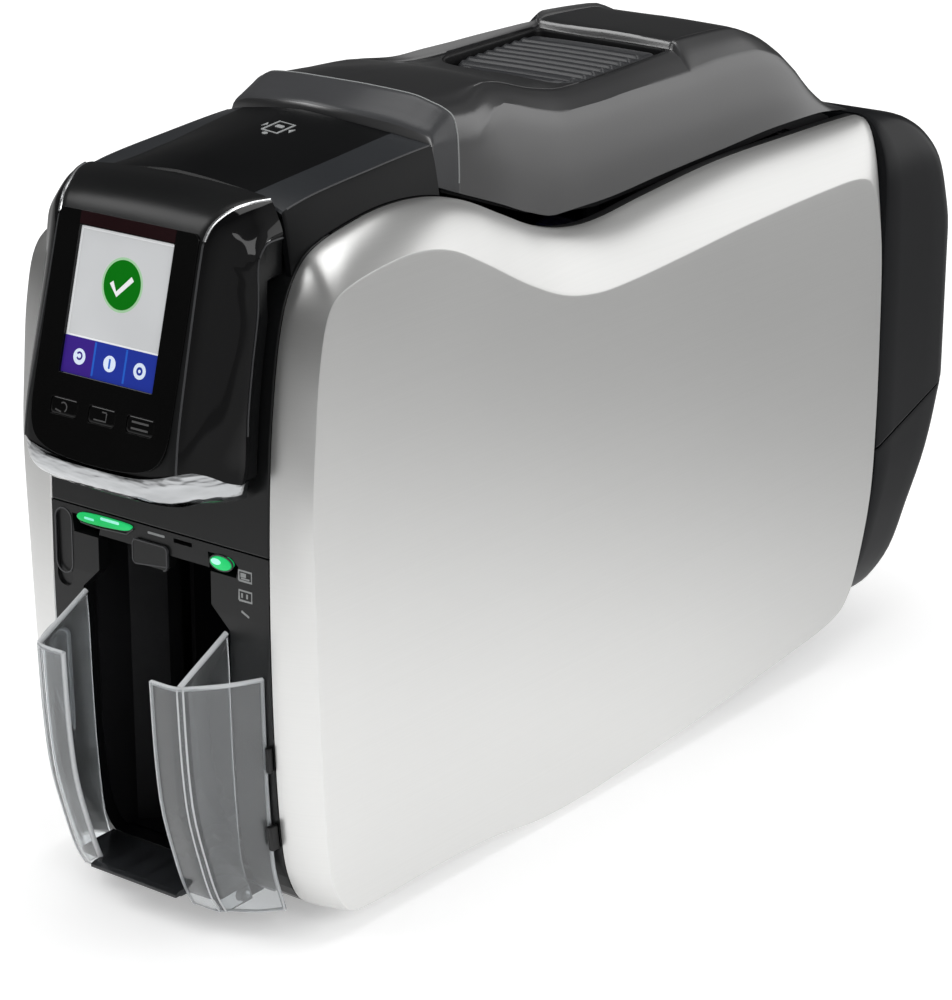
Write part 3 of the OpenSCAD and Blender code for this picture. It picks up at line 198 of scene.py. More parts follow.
def piece(name, verts, faces, material, body="chassis", replaces=(), angle=32, bevel=0.0,
          segments=2, cutters=()):
    """A mesh piece from points in millimetres, dressed and set on its body."""
    obj = mesh_object(name, verts, faces)
    for c in cutters:
        m = obj.modifiers.new("cut", "BOOLEAN")
        m.operation, m.object, m.solver = "DIFFERENCE", c, "EXACT"
    if bevel:
        soften(obj, bevel, segments)
    if cutters or bevel:
        bake(obj)
    for c in cutters:
        bpy.data.objects.remove(c)
    return dress(obj, material, body, replaces, angle)


def dress(obj, material, body="chassis", replaces=(), angle=32):
    smooth(obj, angle)
    obj.data.materials.clear()
    obj.data.materials.append(M[material])
    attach(obj, body)
    if replaces:
        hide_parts(*replaces)
    return obj


def flat_big(obj):
    """Keep the large flat faces of a softened piece truly flat."""
    for poly in obj.data.polygons:
        if poly.area > LARGE_FACE * MM * MM:
            poly.use_smooth = False


def grid_faces(rows, cols, wrap_cols=False):
    """Four-sided faces between the points of a grid, row after row."""
    faces = []
    for j in range(rows - 1):
        for i in range(cols if wrap_cols else cols - 1):
            a, b = j * cols + i, j * cols + (i + 1) % cols
            faces.append((a, b, b + cols, a + cols))
    return faces


def loft(rings, centres=()):
    """Points and faces of closed rings joined in turn; a centre closes its end with a fan."""
    n = len(rings[0])
    verts = [p for ring in rings for p in ring]
    faces = grid_faces(len(rings), n, wrap_cols=True)
    for base, centre in zip((0, (len(rings) - 1) * n), centres):
        verts.append(centre)
        faces += [(len(verts) - 1, base + i, base + (i + 1) % n) for i in range(n)]
    return verts, faces


def centre_of(ring):
    return tuple(sum(p[k] for p in ring) / len(ring) for k in range(3))


def tube_of_rings(name, rings, material, **options):
    """A piece of closed rings joined in turn, with flat ends."""
    verts, faces = loft(rings)
    n = len(rings[0])
    faces.append(tuple(range(n)))
    faces.append(tuple(range(len(verts) - n, len(verts)))[::-1])
    return piece(name, verts, faces, material, **options)


def prism(outline, low, high, place=lambda u, v, w: (u, v, w)):
    """Points and faces of an outline raised from low to high; place sets (u, v, w)."""
    n = len(outline)
    verts = [place(u, v, w) for w in (low, high) for u, v in outline]
    faces = [(i, (i + 1) % n, n + (i + 1) % n, n + i) for i in range(n)]
    faces += [tuple(range(n))[::-1], tuple(range(n, 2 * n))]
    return verts, faces


def join_shapes(shapes):
    verts, faces = [], []
    for v, f in shapes:
        faces += [tuple(i + len(verts) for i in face) for face in f]
        verts += v
    return verts, faces


def round_rect(w, h, r, cx=0.0, cy=0.0, steps=6):
    """Rounded rectangle, anticlockwise from the lower right corner."""
    out = []
    for k, (sx, sy) in enumerate(((1, -1), (1, 1), (-1, 1), (-1, -1))):
        out += arc(cx + sx * (w / 2 - r), cy + sy * (h / 2 - r), r, 90 * k - 90, 90 * k, steps)
    return out


def arc(cx, cy, r, a0, a1, n=14):
    return [(cx + r * math.cos(math.radians(lerp(a0, a1, k / n))),
             cy + r * math.sin(math.radians(lerp(a0, a1, k / n)))) for k in range(n + 1)]


def disc(r, cx=0.0, cy=0.0, n=40, squash=1.0):
    return [(cx + r * math.cos(2 * math.pi * k / n), cy + squash * r * math.sin(2 * math.pi * k / n))
            for k in range(n)]


def stroke(points, width):
    """Outline of a line of constant width through points."""
    left, right = [], []
    n = len(points)
    for i, (x, y) in enumerate(points):
        a, b = points[max(i - 1, 0)], points[min(i + 1, n - 1)]
        ex, ey = b[0] - a[0], b[1] - a[1]
        size = math.hypot(ex, ey)
        nx, ny = -ey / size * width / 2, ex / size * width / 2
        left.append((x + nx, y + ny))
        right.append((x - nx, y - ny))
    return left + right[::-1]


def wire(name, path, radius, material, sides=10, **options):
    """A thin round bead along a path of points."""
    rings = []
    n = len(path)
    for i, p in enumerate(path):
        a, b = Vector(path[max(i - 1, 0)]), Vector(path[min(i + 1, n - 1)])
        t = (b - a).normalized()
        u = t.cross(Vector((0, 0, 1)) if abs(t.z) < 0.9 else Vector((0, 1, 0))).normalized()
        v = t.cross(u)
        rings.append([tuple(Vector(p) + u * radius * math.cos(2 * math.pi * k / sides)
                            + v * radius * math.sin(2 * math.pi * k / sides)) for k in range(sides)])
    return tube_of_rings(name, rings, material, **options)


def refined(node, material, bevel, segments=2):
    """A copy of a solid with its flat faces merged and its edges softened."""
    bm = bmesh.new()
    bm.from_mesh(nodes[node].data)
    bmesh.ops.remove_doubles(bm, verts=bm.verts, dist=2e-6)
    bmesh.ops.dissolve_limit(bm, angle_limit=math.radians(1.5), verts=bm.verts, edges=bm.edges)
    mesh = bpy.data.meshes.new(node + "_soft")
    bm.to_mesh(mesh)
    bm.free()
    obj = bpy.data.objects.new(node + "_soft", mesh)
    scene.collection.objects.link(obj)
    soften(obj, bevel, segments)
    bake(obj)
    dress(obj, material, BODY_OF[node], (node,), angle=40)
    flat_big(obj)


BODY_OF = {n: b for b, members in frame["record"]["behaviour"]["bodies"].items() for n in members}


# ---------------------------------------------------------------- materials
class Nodes:
    """Small helper to build a node tree."""

    def __init__(self, tree):
        self.tree = tree

    def add(self, kind, **inputs):
        node = self.tree.nodes.new(kind)
        for key, value in inputs.items():
            if key.startswith("_"):
                setattr(node, key[1:], value)
            else:
                node.inputs[key.replace("_", " ")].default_value = value
        return node

    def link(self, a, out, b, into):
        self.tree.links.new(a.outputs[out], b.inputs[into])


def new_material(name):
    m = bpy.data.materials.new(name)
    m.use_nodes = True
    t = Nodes(m.node_tree)
    return m, t, m.node_tree.nodes["Principled BSDF"]


def coords(t, scale=(1, 1, 1)):
    tex = t.add("ShaderNodeTexCoord")
    mapping = t.add("ShaderNodeMapping", Scale=scale)
    t.link(tex, "Object", mapping, "Vector")
    return mapping


def noise(t, source, scale, detail=2.0, rough=0.5):
    n = t.add("ShaderNodeTexNoise", Scale=scale, Detail=detail, Roughness=rough)
    t.link(source, "Vector", n, "Vector")
    return n


def ramp(t, source, out, low, high, a, b):
    r = t.add("ShaderNodeMapRange")
    for key, value in (("From Min", low), ("From Max", high), ("To Min", a), ("To Max", b)):
        r.inputs[key].default_value = value
    t.link(source, out, r, "Value")
    return r


def tint(t, factor, colour_a, colour_b):
    mix = t.add("ShaderNodeMix", _data_type="RGBA")
    mix.inputs[6].default_value = (*colour_a, 1)
    mix.inputs[7].default_value = (*colour_b, 1)
    t.tree.links.new(factor.outputs[0], mix.inputs[0])
    return mix


def colour_by(t, s, source, dark, light):
    """Let a noise move the base colour between two tones."""
    mix = tint(t, ramp(t, source, "Fac", 0.3, 0.7, 0.0, 1.0), dark, light)
    t.tree.links.new(mix.outputs[2], s.inputs["Base Color"])
    return mix


def gloss_by(t, s, source, low, high, smoothest, roughest):
    t.link(ramp(t, source, "Fac", low, high, smoothest, roughest), "Result", s, "Roughness")


def bump_by(t, s, source, strength, distance):
    bump = t.add("ShaderNodeBump", Strength=strength, Distance=distance)
    t.link(source, "Fac", bump, "Height")
    t.link(bump, "Normal", s, "Normal")


def times(colour, share):
    return tuple(v * share for v in colour)


def plastic(name, colour, rough, grain=1400.0, depth=0.1, coat=0.0, ior=1.45, spec=0.5):
    """Moulded plastic: fine spark-eroded grain, slight unevenness in gloss and tone."""
    m, t, s = new_material(name)
    c = coords(t)
    fine = noise(t, c, grain, 2.0)
    wide = noise(t, c, 22.0, 3.0)
    colour_by(t, s, wide, colour, tuple(min(1.0, v * 1.1 + 0.001) for v in colour))
    gloss_by(t, s, wide, 0.25, 0.75, rough * 0.94, min(1.0, rough * 1.06))
    bump_by(t, s, fine, depth, 0.0002)
    s.inputs["IOR"].default_value = ior
    s.inputs["Specular IOR Level"].default_value = spec
    if coat:
        s.inputs["Coat Weight"].default_value = coat
        s.inputs["Coat Roughness"].default_value = 0.03
    return m


def brushed(name, colour, rough, lines=(6.0, 4.0, 900.0), depth=0.05, metallic=1.0, spread=0.04):
    """Metal with fine lines along Y: the lines vary tone, gloss and height."""
    m, t, s = new_material(name)
    line = noise(t, coords(t, lines), 1.0, 4.0, 0.6)
    wide = noise(t, coords(t), 9.0, 2.0)
    colour_by(t, s, line, times(colour, 1 - spread), tuple(min(1.0, v * (1 + spread)) for v in colour))
    gloss_by(t, s, wide, 0.3, 0.7, rough * 0.96, rough * 1.05)
    bump_by(t, s, line, depth, 0.0001)
    s.inputs["Metallic"].default_value = metallic
    return m


def chrome(name, colour, rough, waves):
    """Plated plastic: bright, with the slight waviness of the moulding under it."""
    m, t, s = new_material(name)
    wide = noise(t, coords(t, waves), 1.0, 2.0)
    colour_by(t, s, wide, times(colour, 0.8), colour)
    gloss_by(t, s, wide, 0.3, 0.7, rough * 0.8, rough * 1.3)
    bump_by(t, s, wide, 0.8, 0.0012)
    s.inputs["Metallic"].default_value = 1.0
    return m


def clear(name, colour, rough, weight):
    """Clear moulded plastic with faint flow marks."""
    m, t, s = new_material(name)
    wide = noise(t, coords(t), 60.0, 2.0)
    colour_by(t, s, wide, times(colour, 0.96), colour)
    s.inputs["Transmission Weight"].default_value = weight
    s.inputs["IOR"].default_value = 1.45
    gloss_by(t, s, wide, 0.3, 0.7, rough * 0.8, rough * 1.4)
    bump_by(t, s, wide, 0.05, 0.0005)
    return m


def glowing(name, colour, strength, edge=None):
    """A lit area, slightly uneven as a backlight is."""
    m, t, s = new_material(name)
    mix = colour_by(t, s, noise(t, coords(t), 40.0, 1.0), edge or times(colour, 0.93), colour)
    t.tree.links.new(mix.outputs[2], s.inputs["Emission Color"])
    s.inputs["Emission Strength"].default_value = strength
    s.inputs["Roughness"].default_value = 0.3
    s.inputs["Specular IOR Level"].default_value = 0.2
    return m


M = {
    "silver": brushed("silver_sheet", (0.70, 0.70, 0.69), 0.33, lines=(8.0, 5.0, 2400.0),
                      depth=0.012, metallic=0.92, spread=0.012),
    "black": plastic("black_plastic", (0.006, 0.006, 0.0065), 0.42, ior=1.4),
    "inner": plastic("inner_plastic", (0.008, 0.008, 0.009), 0.55, depth=0.15, ior=1.3),
    "charcoal": plastic("charcoal_plastic", (0.005, 0.0053, 0.0056), 0.32, grain=1200, ior=1.42,
                        spec=0.42),
    "deck": plastic("deck_plastic", (0.003, 0.0032, 0.0036), 0.3, grain=1200, depth=0.08, ior=1.34,
                    spec=0.28),
    "facet": plastic("facet_plastic", (0.02, 0.022, 0.025), 0.3, grain=1200, depth=0.08),
    "door": plastic("door_plastic", (0.009, 0.0092, 0.0102), 0.29, grain=1200, depth=0.08, ior=1.66,
                    spec=1.0),
    # Paler grey of the door's front band and of raised edges and tabs, also used for the thin beads along
    # the head's flank edges, which stand in for their highlights: real colour and painted highlights.
    "rim": plastic("band_and_highlight_plastic", (0.05, 0.051, 0.054), 0.3, grain=1200, depth=0.12),
    "pad": plastic("pad_plastic", (0.03, 0.031, 0.034), 0.34, grain=1200, depth=0.12),
    "housing": plastic("housing_plastic", (0.003, 0.0034, 0.0045), 0.34, depth=0.08, ior=1.3),
    "gloss": plastic("gloss_black", (0.0015, 0.0015, 0.0018), 0.06, grain=500, depth=0.008, coat=0.2,
                     ior=1.38),
    "glass": plastic("window_black", (0.0015, 0.0015, 0.0015), 0.1, grain=500, depth=0.008, ior=1.38),
    "lip": chrome("lip_chrome", (0.47, 0.48, 0.49), 0.12, (70, 70, 230)),
    "clear": clear("clear_plastic", (0.86, 0.885, 0.9), 0.045, 0.93),
    "smoke": clear("smoke_plastic", (0.03, 0.032, 0.035), 0.15, 0.5),
    # Light satin metal for thin pieces that stand in for highlights on the head's glossy edges: painted
    # highlights.
    "bead": brushed("painted_highlight_metal", (0.78, 0.79, 0.8), 0.24, lines=(40.0, 40.0, 40.0), depth=0.01),
    # Whitish, less clear plastic for beads that stand in for the bright edges of the clear wings: painted
    # highlights.
    "clear_painted_highlight": clear("clear_painted_highlight", (0.9, 0.92, 0.94), 0.16, 0.3),
    "white_screen": glowing("screen_white", (0.55, 0.56, 0.57), 0.27),
    "bright_screen": glowing("screen_border", (0.72, 0.73, 0.74), 0.38),
    "green_screen": glowing("screen_green", (0.0, 0.125, 0.002), 0.5),
    "halo_screen": glowing("screen_halo", (0.33, 0.56, 0.33), 0.3),
    "blue_screen": glowing("screen_blue", (0.012, 0.028, 0.26), 0.38),
    "violet_screen": glowing("screen_violet", (0.035, 0.012, 0.19), 0.38),
    "sky_screen": glowing("screen_sky", (0.015, 0.09, 0.45), 0.4),
    "pale_screen": glowing("screen_pale", (0.6, 0.68, 0.8), 0.36),
    "dark_screen": plastic("screen_dark", (0.012, 0.002, 0.003), 0.2, grain=500, depth=0.01),
    "key_mark": plastic("key_mark", (0.075, 0.075, 0.075), 0.4, depth=0.02),
    "green_light": glowing("green_light", (0.02, 0.55, 0.16), 0.75, edge=(0.0, 0.3, 0.06)),
    "teal_light": glowing("teal_light", (0.45, 0.82, 0.72), 0.7, edge=(0.1, 0.55, 0.4)),
    "rubber": plastic("rubber", (0.02, 0.02, 0.02), 0.7, grain=900, depth=0.3),
    "steel": brushed("steel", (0.6, 0.6, 0.61), 0.28),
    "gear": plastic("gear_plastic", (0.62, 0.6, 0.52), 0.45, depth=0.05),
    "brass": brushed("brass", (0.6, 0.45, 0.22), 0.3),
    "film": plastic("ribbon_film", (0.015, 0.015, 0.06), 0.25, grain=300, depth=0.05, coat=0.3),
    "core": plastic("core_plastic", (0.5, 0.5, 0.52), 0.45),
    "board": plastic("board_green", (0.01, 0.09, 0.03), 0.4, grain=500, depth=0.1),
    "socket": brushed("socket_metal", (0.55, 0.55, 0.56), 0.3),
    "ceramic": plastic("ceramic", (0.5, 0.45, 0.36), 0.35, depth=0.05),
    # Pale grey for printed and embossed marks, and for the bead that stands in for the highlight on the
    # door band's crest: print and painted highlight.
    "mark": plastic("print_and_highlight_grey", (0.32, 0.33, 0.33), 0.45, depth=0.03),
}

# The look of each solid
NODE_LOOKS = {
    "inner": "base_tray hopper_liner lift_plate ribbon_bay head_bearings door_liner",
    "black": "left_wall right_wall wing_clips pad_well power_inlet",
    "silver": "left_side_panel right_side_panel", "charcoal": "hopper_bezel head_frame head_shell",
    "deck": "top_deck", "lip": "head_lip", "gloss": "head_flanks", "door": "ribbon_door",
    "glass": "display_window key_left key_middle key_right", "white_screen": "display_panel",
    "green_light": "light_guides", "clear": "wing_left wing_right", "smoke": "wing_bridge",
    "rubber": "feed_roller transport_roller platen_roller feet", "pad": "latch_pad",
    "steel": "feed_axle transport_axle platen_axle drive_motor printhead_carriage latch_hook hinge_pin",
    "gear": "feed_gear transport_gear platen_gear front_idler rear_idler", "brass": "motor_pinion",
    "core": "supply_core takeup_core", "film": "supply_roll takeup_roll", "ceramic": "printhead_bar",
    "housing": "rear_housing rear_lower_cover", "socket": "data_ports", "board": "mainboard",
}
LOOK_OF = {node: look for look, members in NODE_LOOKS.items() for node in members.split()}
for node_name, obj in nodes.items():
    obj.data.materials.clear()
    obj.data.materials.append(M[LOOK_OF[node_name]])
    smooth(obj)

# ---------------------------------------------------------------- measures of the solids (mm)
FRONT_Y, CORE_X, HALF_W, PANEL_REAR, REAR_Y = -212.0, 53.7, 72.0, 172.0, 244.0
HUMP_Z, DIP_Z, TAIL_Z, BEVEL_H = 265.5, 235.0, 243.5, 22.0
HUMP_Y, BEVEL_X, PANEL_T, PAD_Z, HOPPER_X = FRONT_Y + 69, 53.9, 2.2, 281.0, -2.0
FACE_Y, FACE_Z, TILT = -235.0, 211.0, math.radians(15.2)

# Silver line where a panel meets the dark body, clockwise seen from +X
RIM_KEYS = [
    (FRONT_Y + 34, 8.5), (FRONT_Y + 16, 11), (FRONT_Y + 7, 24), (FRONT_Y + 3, 45),
    (FRONT_Y + 0.8, 80), (FRONT_Y, 125), (FRONT_Y + 1.2, 172), (FRONT_Y + 4, 205),
    (FRONT_Y + 9, 233), (FRONT_Y + 16, 249), (FRONT_Y + 27, HUMP_Z - 7.5),
    (FRONT_Y + 49, HUMP_Z - 2), (HUMP_Y, HUMP_Z), (FRONT_Y + 90, HUMP_Z - 1.5),
    (FRONT_Y + 111, HUMP_Z - 7), (FRONT_Y + 132, DIP_Z + 14.5), (FRONT_Y + 152, DIP_Z + 6),
    (FRONT_Y + 172, DIP_Z + 1), (FRONT_Y + 194, DIP_Z), (15, lerp(DIP_Z, TAIL_Z, 0.4)),
    (65, lerp(DIP_Z, TAIL_Z, 0.9)), (PANEL_REAR - 50, TAIL_Z), (PANEL_REAR - 10, TAIL_Z),
    (PANEL_REAR + 2, TAIL_Z - 1.2), (PANEL_REAR + 6, TAIL_Z - 7), (PANEL_REAR + 7, 205),
    (PANEL_REAR + 5, 160), (PANEL_REAR + 3, 115), (PANEL_REAR, 76), (PANEL_REAR - 8, 49),
    (PANEL_REAR - 18, 30), (PANEL_REAR - 32, 22), (105, 17), (37, 10), (-8, 6.5),
    (-45, 4.2), (-75, 4.5), (-105, 8), (-140, 9),
]
# Crease round the flat of the panel, point for point with the silver line
CREASE_KEYS = [
    (FRONT_Y + 34, 8.5), (FRONT_Y + 20, 11.5), (FRONT_Y + 12, 25), (FRONT_Y + 9, 45),
    (FRONT_Y + 7, 80), (FRONT_Y + 5.5, 125), (FRONT_Y + 4.5, 168), (FRONT_Y + 6.5, 196),
    (FRONT_Y + 9.5, 222), (FRONT_Y + 15, HUMP_Z - 25), (FRONT_Y + 26, HUMP_Z - 18),
    (FRONT_Y + 50, HUMP_Z - 14), (HUMP_Y - 1, HUMP_Z - 14), (FRONT_Y + 85, HUMP_Z - 18),
    (FRONT_Y + 105, DIP_Z - BEVEL_H + 25), (FRONT_Y + 127, DIP_Z - BEVEL_H + 13.5),
    (FRONT_Y + 150, DIP_Z - BEVEL_H + 4), (FRONT_Y + 172, DIP_Z - BEVEL_H),
    (FRONT_Y + 194, DIP_Z - BEVEL_H), (15, lerp(DIP_Z, TAIL_Z, 0.25) - BEVEL_H),
    (65, lerp(DIP_Z, TAIL_Z, 0.7) - BEVEL_H), (PANEL_REAR - 55, TAIL_Z - BEVEL_H),
    (PANEL_REAR - 22, TAIL_Z - BEVEL_H), (PANEL_REAR - 10, TAIL_Z - BEVEL_H - 6),
    (PANEL_REAR - 4, 200), (PANEL_REAR - 1, 180), (PANEL_REAR, 145), (PANEL_REAR, 110),
    (PANEL_REAR - 2, 76), (PANEL_REAR - 9, 49), (PANEL_REAR - 18, 30), (PANEL_REAR - 32, 22),
    (105, 17), (37, 10), (-8, 6.5), (-45, 4.2), (-75, 4.5), (-105, 8), (-140, 9),
]
KEY_STEPS, LOWEST_KEY, CORNER_KEY, TAIL_KEY = 6, 1, 8, 23
RIM = spline(RIM_KEYS, KEY_STEPS, closed=True)
CREASE = spline(CREASE_KEYS, KEY_STEPS, closed=True)
TOP_LINE = RIM[CORNER_KEY * KEY_STEPS:TAIL_KEY * KEY_STEPS + 1]
FRONT_LINE = [(p[1], p[0]) for p in RIM[LOWEST_KEY * KEY_STEPS:CORNER_KEY * KEY_STEPS + 1]]


def silver_z(y):
    return table(TOP_LINE, y)


def frame_y(z):
    return table(FRONT_LINE, z)


def slab(outer, inner):
    """Points and faces of a thick sheet between two grids of points."""
    rows, cols = len(outer), len(outer[0])
    verts = [p for row in outer for p in row] + [p for row in inner for p in row]
    half = rows * cols
    faces = grid_faces(rows, cols)
    faces += [tuple(half + i for i in f)[::-1] for f in grid_faces(rows, cols)]
    for j in range(rows - 1):
        a, d = j * cols, (j + 1) * cols
        faces += [(a, d, half + d, half + a),
                  (a + cols - 1, half + a + cols - 1, half + d + cols - 1, d + cols - 1)]
    for i in range(cols - 1):
        c = (rows - 1) * cols + i
        faces += [(i, half + i, half + i + 1, i + 1), (c, c + 1, half + c + 1, half + c)]
    return verts, faces


# ---------------------------------------------------------------- side panels
def side_panel(side, word):
    def ring(loop, x):
        return [(side * x, p[0], p[1]) for p in loop]

    rings = [ring(inset(CREASE, 3), HALF_W - PANEL_T), ring(inset(RIM, PANEL_T), BEVEL_X),
             ring(inset(RIM, 0.5), BEVEL_X), ring(RIM, BEVEL_X + 0.45)]
    for t in (0.012, 0.03, 0.06, 0.1, 0.16, 0.24, 0.34, 0.46, 0.6, 0.74, 0.86, 0.95, 1.0):
        x = 54.35 + 17.0 * t ** 0.5
        rings.append(ring([(lerp(a[0], b[0], t), lerp(a[1], b[1], t))
                           for a, b in zip(RIM, CREASE)], x))
    for d, x in ((0.25, 71.4), (0.9, 71.44), (3, 71.5), (8, 71.58)):
        rings.append(ring(inset(CREASE, d), x))
    middle = (-20.0, 120.0)
    last = inset(CREASE, 8)
    for t, x in ((0.1, 71.66), (0.2, 71.74), (0.32, 71.81), (0.45, 71.87), (0.6, 71.92), (0.75, 71.96),
                 (0.95, 71.99)):
        rings.append(ring([(lerp(p[0], middle[0], t), lerp(p[1], middle[1], t)) for p in last], x))
    ends = ((side * 69.9, *middle), (side * HALF_W, *middle))
    piece(f"{word}_panel_skin", *loft(rings, ends), "silver", replaces=(f"{word}_side_panel",), angle=13)


for side, word in SIDES:
    side_panel(side, word)


# ---------------------------------------------------------------- top deck
def door_front(x):
    return FRONT_Y + 99 - 14 * (1 - (x / 49.0) ** 2)


# Heights of the deck along Y: outside, top and middle of its section, and the left side's drop
DECK_LOW = Curve([(-197, 271.6), (-188, 273.6), (-180, 275), (-150, 278), (-118, 280.6), (-99, 281.4)])
DECK_TOP = Curve([(-197, 276.6), (-188, 277.6), (-171, 279.3), (-150, 281.4), (-125, 284), (-99, 286)])
DECK_MID = Curve([(-197, 279.2), (-188, 281.4), (-180, 283.2), (-150, 287.2), (-118, 290.2), (-99, 291)])
LEFT_DROP = Curve([(-197, 0.8), (-180, 2), (-160, 1.8), (-140, 0.8), (-120, 0)])
CHAMFER_IN, CHAMFER_OUT = 36.0, 49.0


def deck_z(x, y):
    a = abs(x)
    side = DECK_TOP(y) - (LEFT_DROP(y) if x < 0 else 0)
    if a < CHAMFER_IN:
        return lerp(DECK_MID(y), side, (a / CHAMFER_IN) ** 1.6)
    return lerp(side, DECK_LOW(y), min(1, (a - CHAMFER_IN) / (CHAMFER_OUT - CHAMFER_IN)))


def make_deck():
    half = [53.0, 52.4, 51.6, 50.8, 50.1, 49.6, 49.25, 49.0, 48.4, 46, 42, 38, 36.5, 36.0, 35.5, 34,
            30, 25, 19, 13, 6, 0]
    xs = [-x for x in half] + half[-2::-1]
    ts = [0, 0.003, 0.01, 0.02] + [k / 28 for k in range(1, 28)] + [0.99, 1]
    outer, inner = [], []
    for t in ts:
        row, low = [], []
        for x in xs:
            a, s = abs(x), math.copysign(1, x)
            y = lerp(-195.6, door_front(min(49, a)) - 0.6, t)
            if a > CHAMFER_OUT:
                top, edge = deck_z(s * CHAMFER_OUT, y), silver_z(y) + 0.4
                q = (a - CHAMFER_OUT) / (53.0 - CHAMFER_OUT)
                z = lerp(top, min(edge, top - 1), 0.5 * q + 0.5 * q * q)
            else:
                z = deck_z(x, y)
            z -= 0.7 * max(0, 1 - t / 0.012) ** 2
            row.append((x, y, z))
            low.append((s * (a - 2.2) if a > CHAMFER_OUT else x, y, z - (0.9 if a > CHAMFER_OUT else 2.4)))
        outer.append(row)
        inner.append(low)
    deck = piece("deck_skin", *slab(outer, inner), "deck", replaces=("top_deck",), angle=26)
    deck.data.materials.append(M["facet"])
    for poly in deck.data.polygons:
        if CHAMFER_IN < abs(poly.center.x / MM) < CHAMFER_OUT and poly.normal.z > 0.3:
            poly.material_index = 1
    line = [lerp(-193, door_front(49) - 1.5, k / 24) for k in range(25)]
    for side, word in SIDES:
        path = [(side * 48.95, y, deck_z(side * 48.95, y) - 0.15) for y in line]
        wire(f"deck_edge_{word}", path, 0.34, "rim", sides=8)


make_deck()


# ---------------------------------------------------------------- control head
def on_face(u, v, w):
    """Place on the head's face: u sideways, v up the face, w outwards."""
    return (u, FACE_Y + v * math.sin(TILT) - w * math.cos(TILT),
            FACE_Z + v * math.cos(TILT) + w * math.sin(TILT))


def face_line(z):
    return FACE_Y + (z - FACE_Z) * math.tan(TILT)


# Front point, rear point, flank's rear edge, sag of the corners, extra half width
HEAD_ROWS = [
    (face_line(178) + 3.2, 178, frame_y(178) - 0.5, 178, 0.72, 0, 1.2),
    (face_line(184) + 1.8, 184, frame_y(186) - 0.5, 186, 0.79, 0, 1.6),
    (face_line(194) + 0.5, 194, frame_y(197) - 0.5, 197, 0.78, 0, 1.4),
    (face_line(204), 204, frame_y(206) - 0.5, 206, 0.76, 0, 1.0),
    (face_line(222), 222, frame_y(221) - 0.5, 221, 0.745, 0, 0.3),
    (face_line(244), 244, frame_y(235) - 0.5, 235, 0.73, 0, -0.4),
    (face_line(259), 259, frame_y(241) - 0.5, 241, 0.70, 0.1, -0.6),
    (face_line(265) + 0.3, 265, frame_y(244) - 0.5, 244, 0.66, 0.3, -0.5),
    (FRONT_Y - 4.3, 271.2, frame_y(246.6) - 0.5, 246.6, 0.60, 0.8, 0.9),
    (FRONT_Y + 2.3, 275.7, frame_y(247.8) - 0.5, 247.8, 0.55, 1.6, 3.4),
    (FRONT_Y + 9, 278.0, frame_y(248.8) - 0.5, 248.8, 0.54, 2.4, 6.4),
    (FRONT_Y + 16, 278.9, FRONT_Y + 16, 249.8, 0.56, 3.2, 9.3),
]
HEAD_FINE = spline(HEAD_ROWS, 6)
FACE_HALF, HEAD_HALF = 35, 50.0


def head_point(row, x, u, lift=0.0):
    y = lerp(row[0], row[2], u)
    z = lerp(row[1], row[3], u)
    ny, nz = row[0] - row[2], row[1] - row[3]
    size = math.hypot(ny, nz)
    return (x, y + ny / size * lift, z + nz / size * lift)


def flank_keys(row):
    """Half width and share of the depth from the face's edge round the flank to the rear."""
    w, f = FACE_HALF + row[6], row[4]
    return [(w, 0.03), (lerp(w, HEAD_HALF, 0.29), f * 0.21), (lerp(w, HEAD_HALF, 0.57), f * 0.45),
            (lerp(w, HEAD_HALF, 0.82), f * 0.67), (HEAD_HALF, f - 0.06)]


def half_ring(row):
    """Right half of a head section, from the middle of the face round the flank to the rear."""
    w, h, f, sag = FACE_HALF + row[6], HEAD_HALF, row[4], row[5] * 0.7
    keys = [(0.0, 0.0, 0.0), (w * 0.35, 0.0, -0.12 * sag), (w * 0.7, 0.0, -0.5 * sag),
            (w - 3.2, 0.0, -0.86 * sag - 0.05), (w - 1.0, 0.006, -sag - 0.1), (w, 0.03, -sag)]
    curve = spline(flank_keys(row), 5)
    keys += [(x, u, -sag * (1 - k / len(curve))) for k, (x, u) in enumerate(curve) if k]
    keys += [(h - 0.35, f, 0), (h - 0.8, f + 0.03, 0), (h - 0.9, lerp(f, 1, 0.5), 0),
             (h - 1.0, 0.975, 0), (h - 1.6, 1, 0)]
    return [head_point(row, x, u, l) for x, u, l in keys]


LIP_RISE = [(0, 0), (12, 0.1), (20, 0.5), (26, 1.4), (30, 2.3), (34, 3.4), (38, 4.4), (40.5, 4.5),
            (42, 4), (45, 2.2), (47, 0.5), (52, -3), (60, -4)]
LIP_CURVE = Curve(LIP_RISE)
LIP_TOP = 181.3


def lip_cutter(gap, keep_above):
    xs = [-60 + 2 * k for k in range(61)]
    line = [(x, LIP_TOP + LIP_CURVE(abs(x)) + gap) for x in xs]
    far = 100 if keep_above else 320
    return cutter(*prism(line + [(60, far), (-60, far)], -290, -150, lambda x, z, y: (x, y, z)))


# Keys and screen on the face: places, sizes
KEY_XS, KEY_V, KEY_W, KEY_H = (-17.5, 1.0, 19.5), -12, 13, 6
SCREEN_W, SCREEN_H, SCREEN_V = 45.2, 52.2, 26.2


def face_holes(key_gap, key_r, screen_gaps, screen_r, key_depths, screen_depths):
    """Cutters for the three keys and the screen, each larger than its piece by a gap."""
    outlines = [(round_rect(KEY_W + key_gap, KEY_H + key_gap, key_r, x, KEY_V), key_depths)
                for x in KEY_XS]
    screen = round_rect(SCREEN_W + screen_gaps[0], SCREEN_H + screen_gaps[1], screen_r, 0, SCREEN_V)
    return [cutter(*prism(outline, *depths, on_face))
            for outline, depths in outlines + [(screen, screen_depths)]]


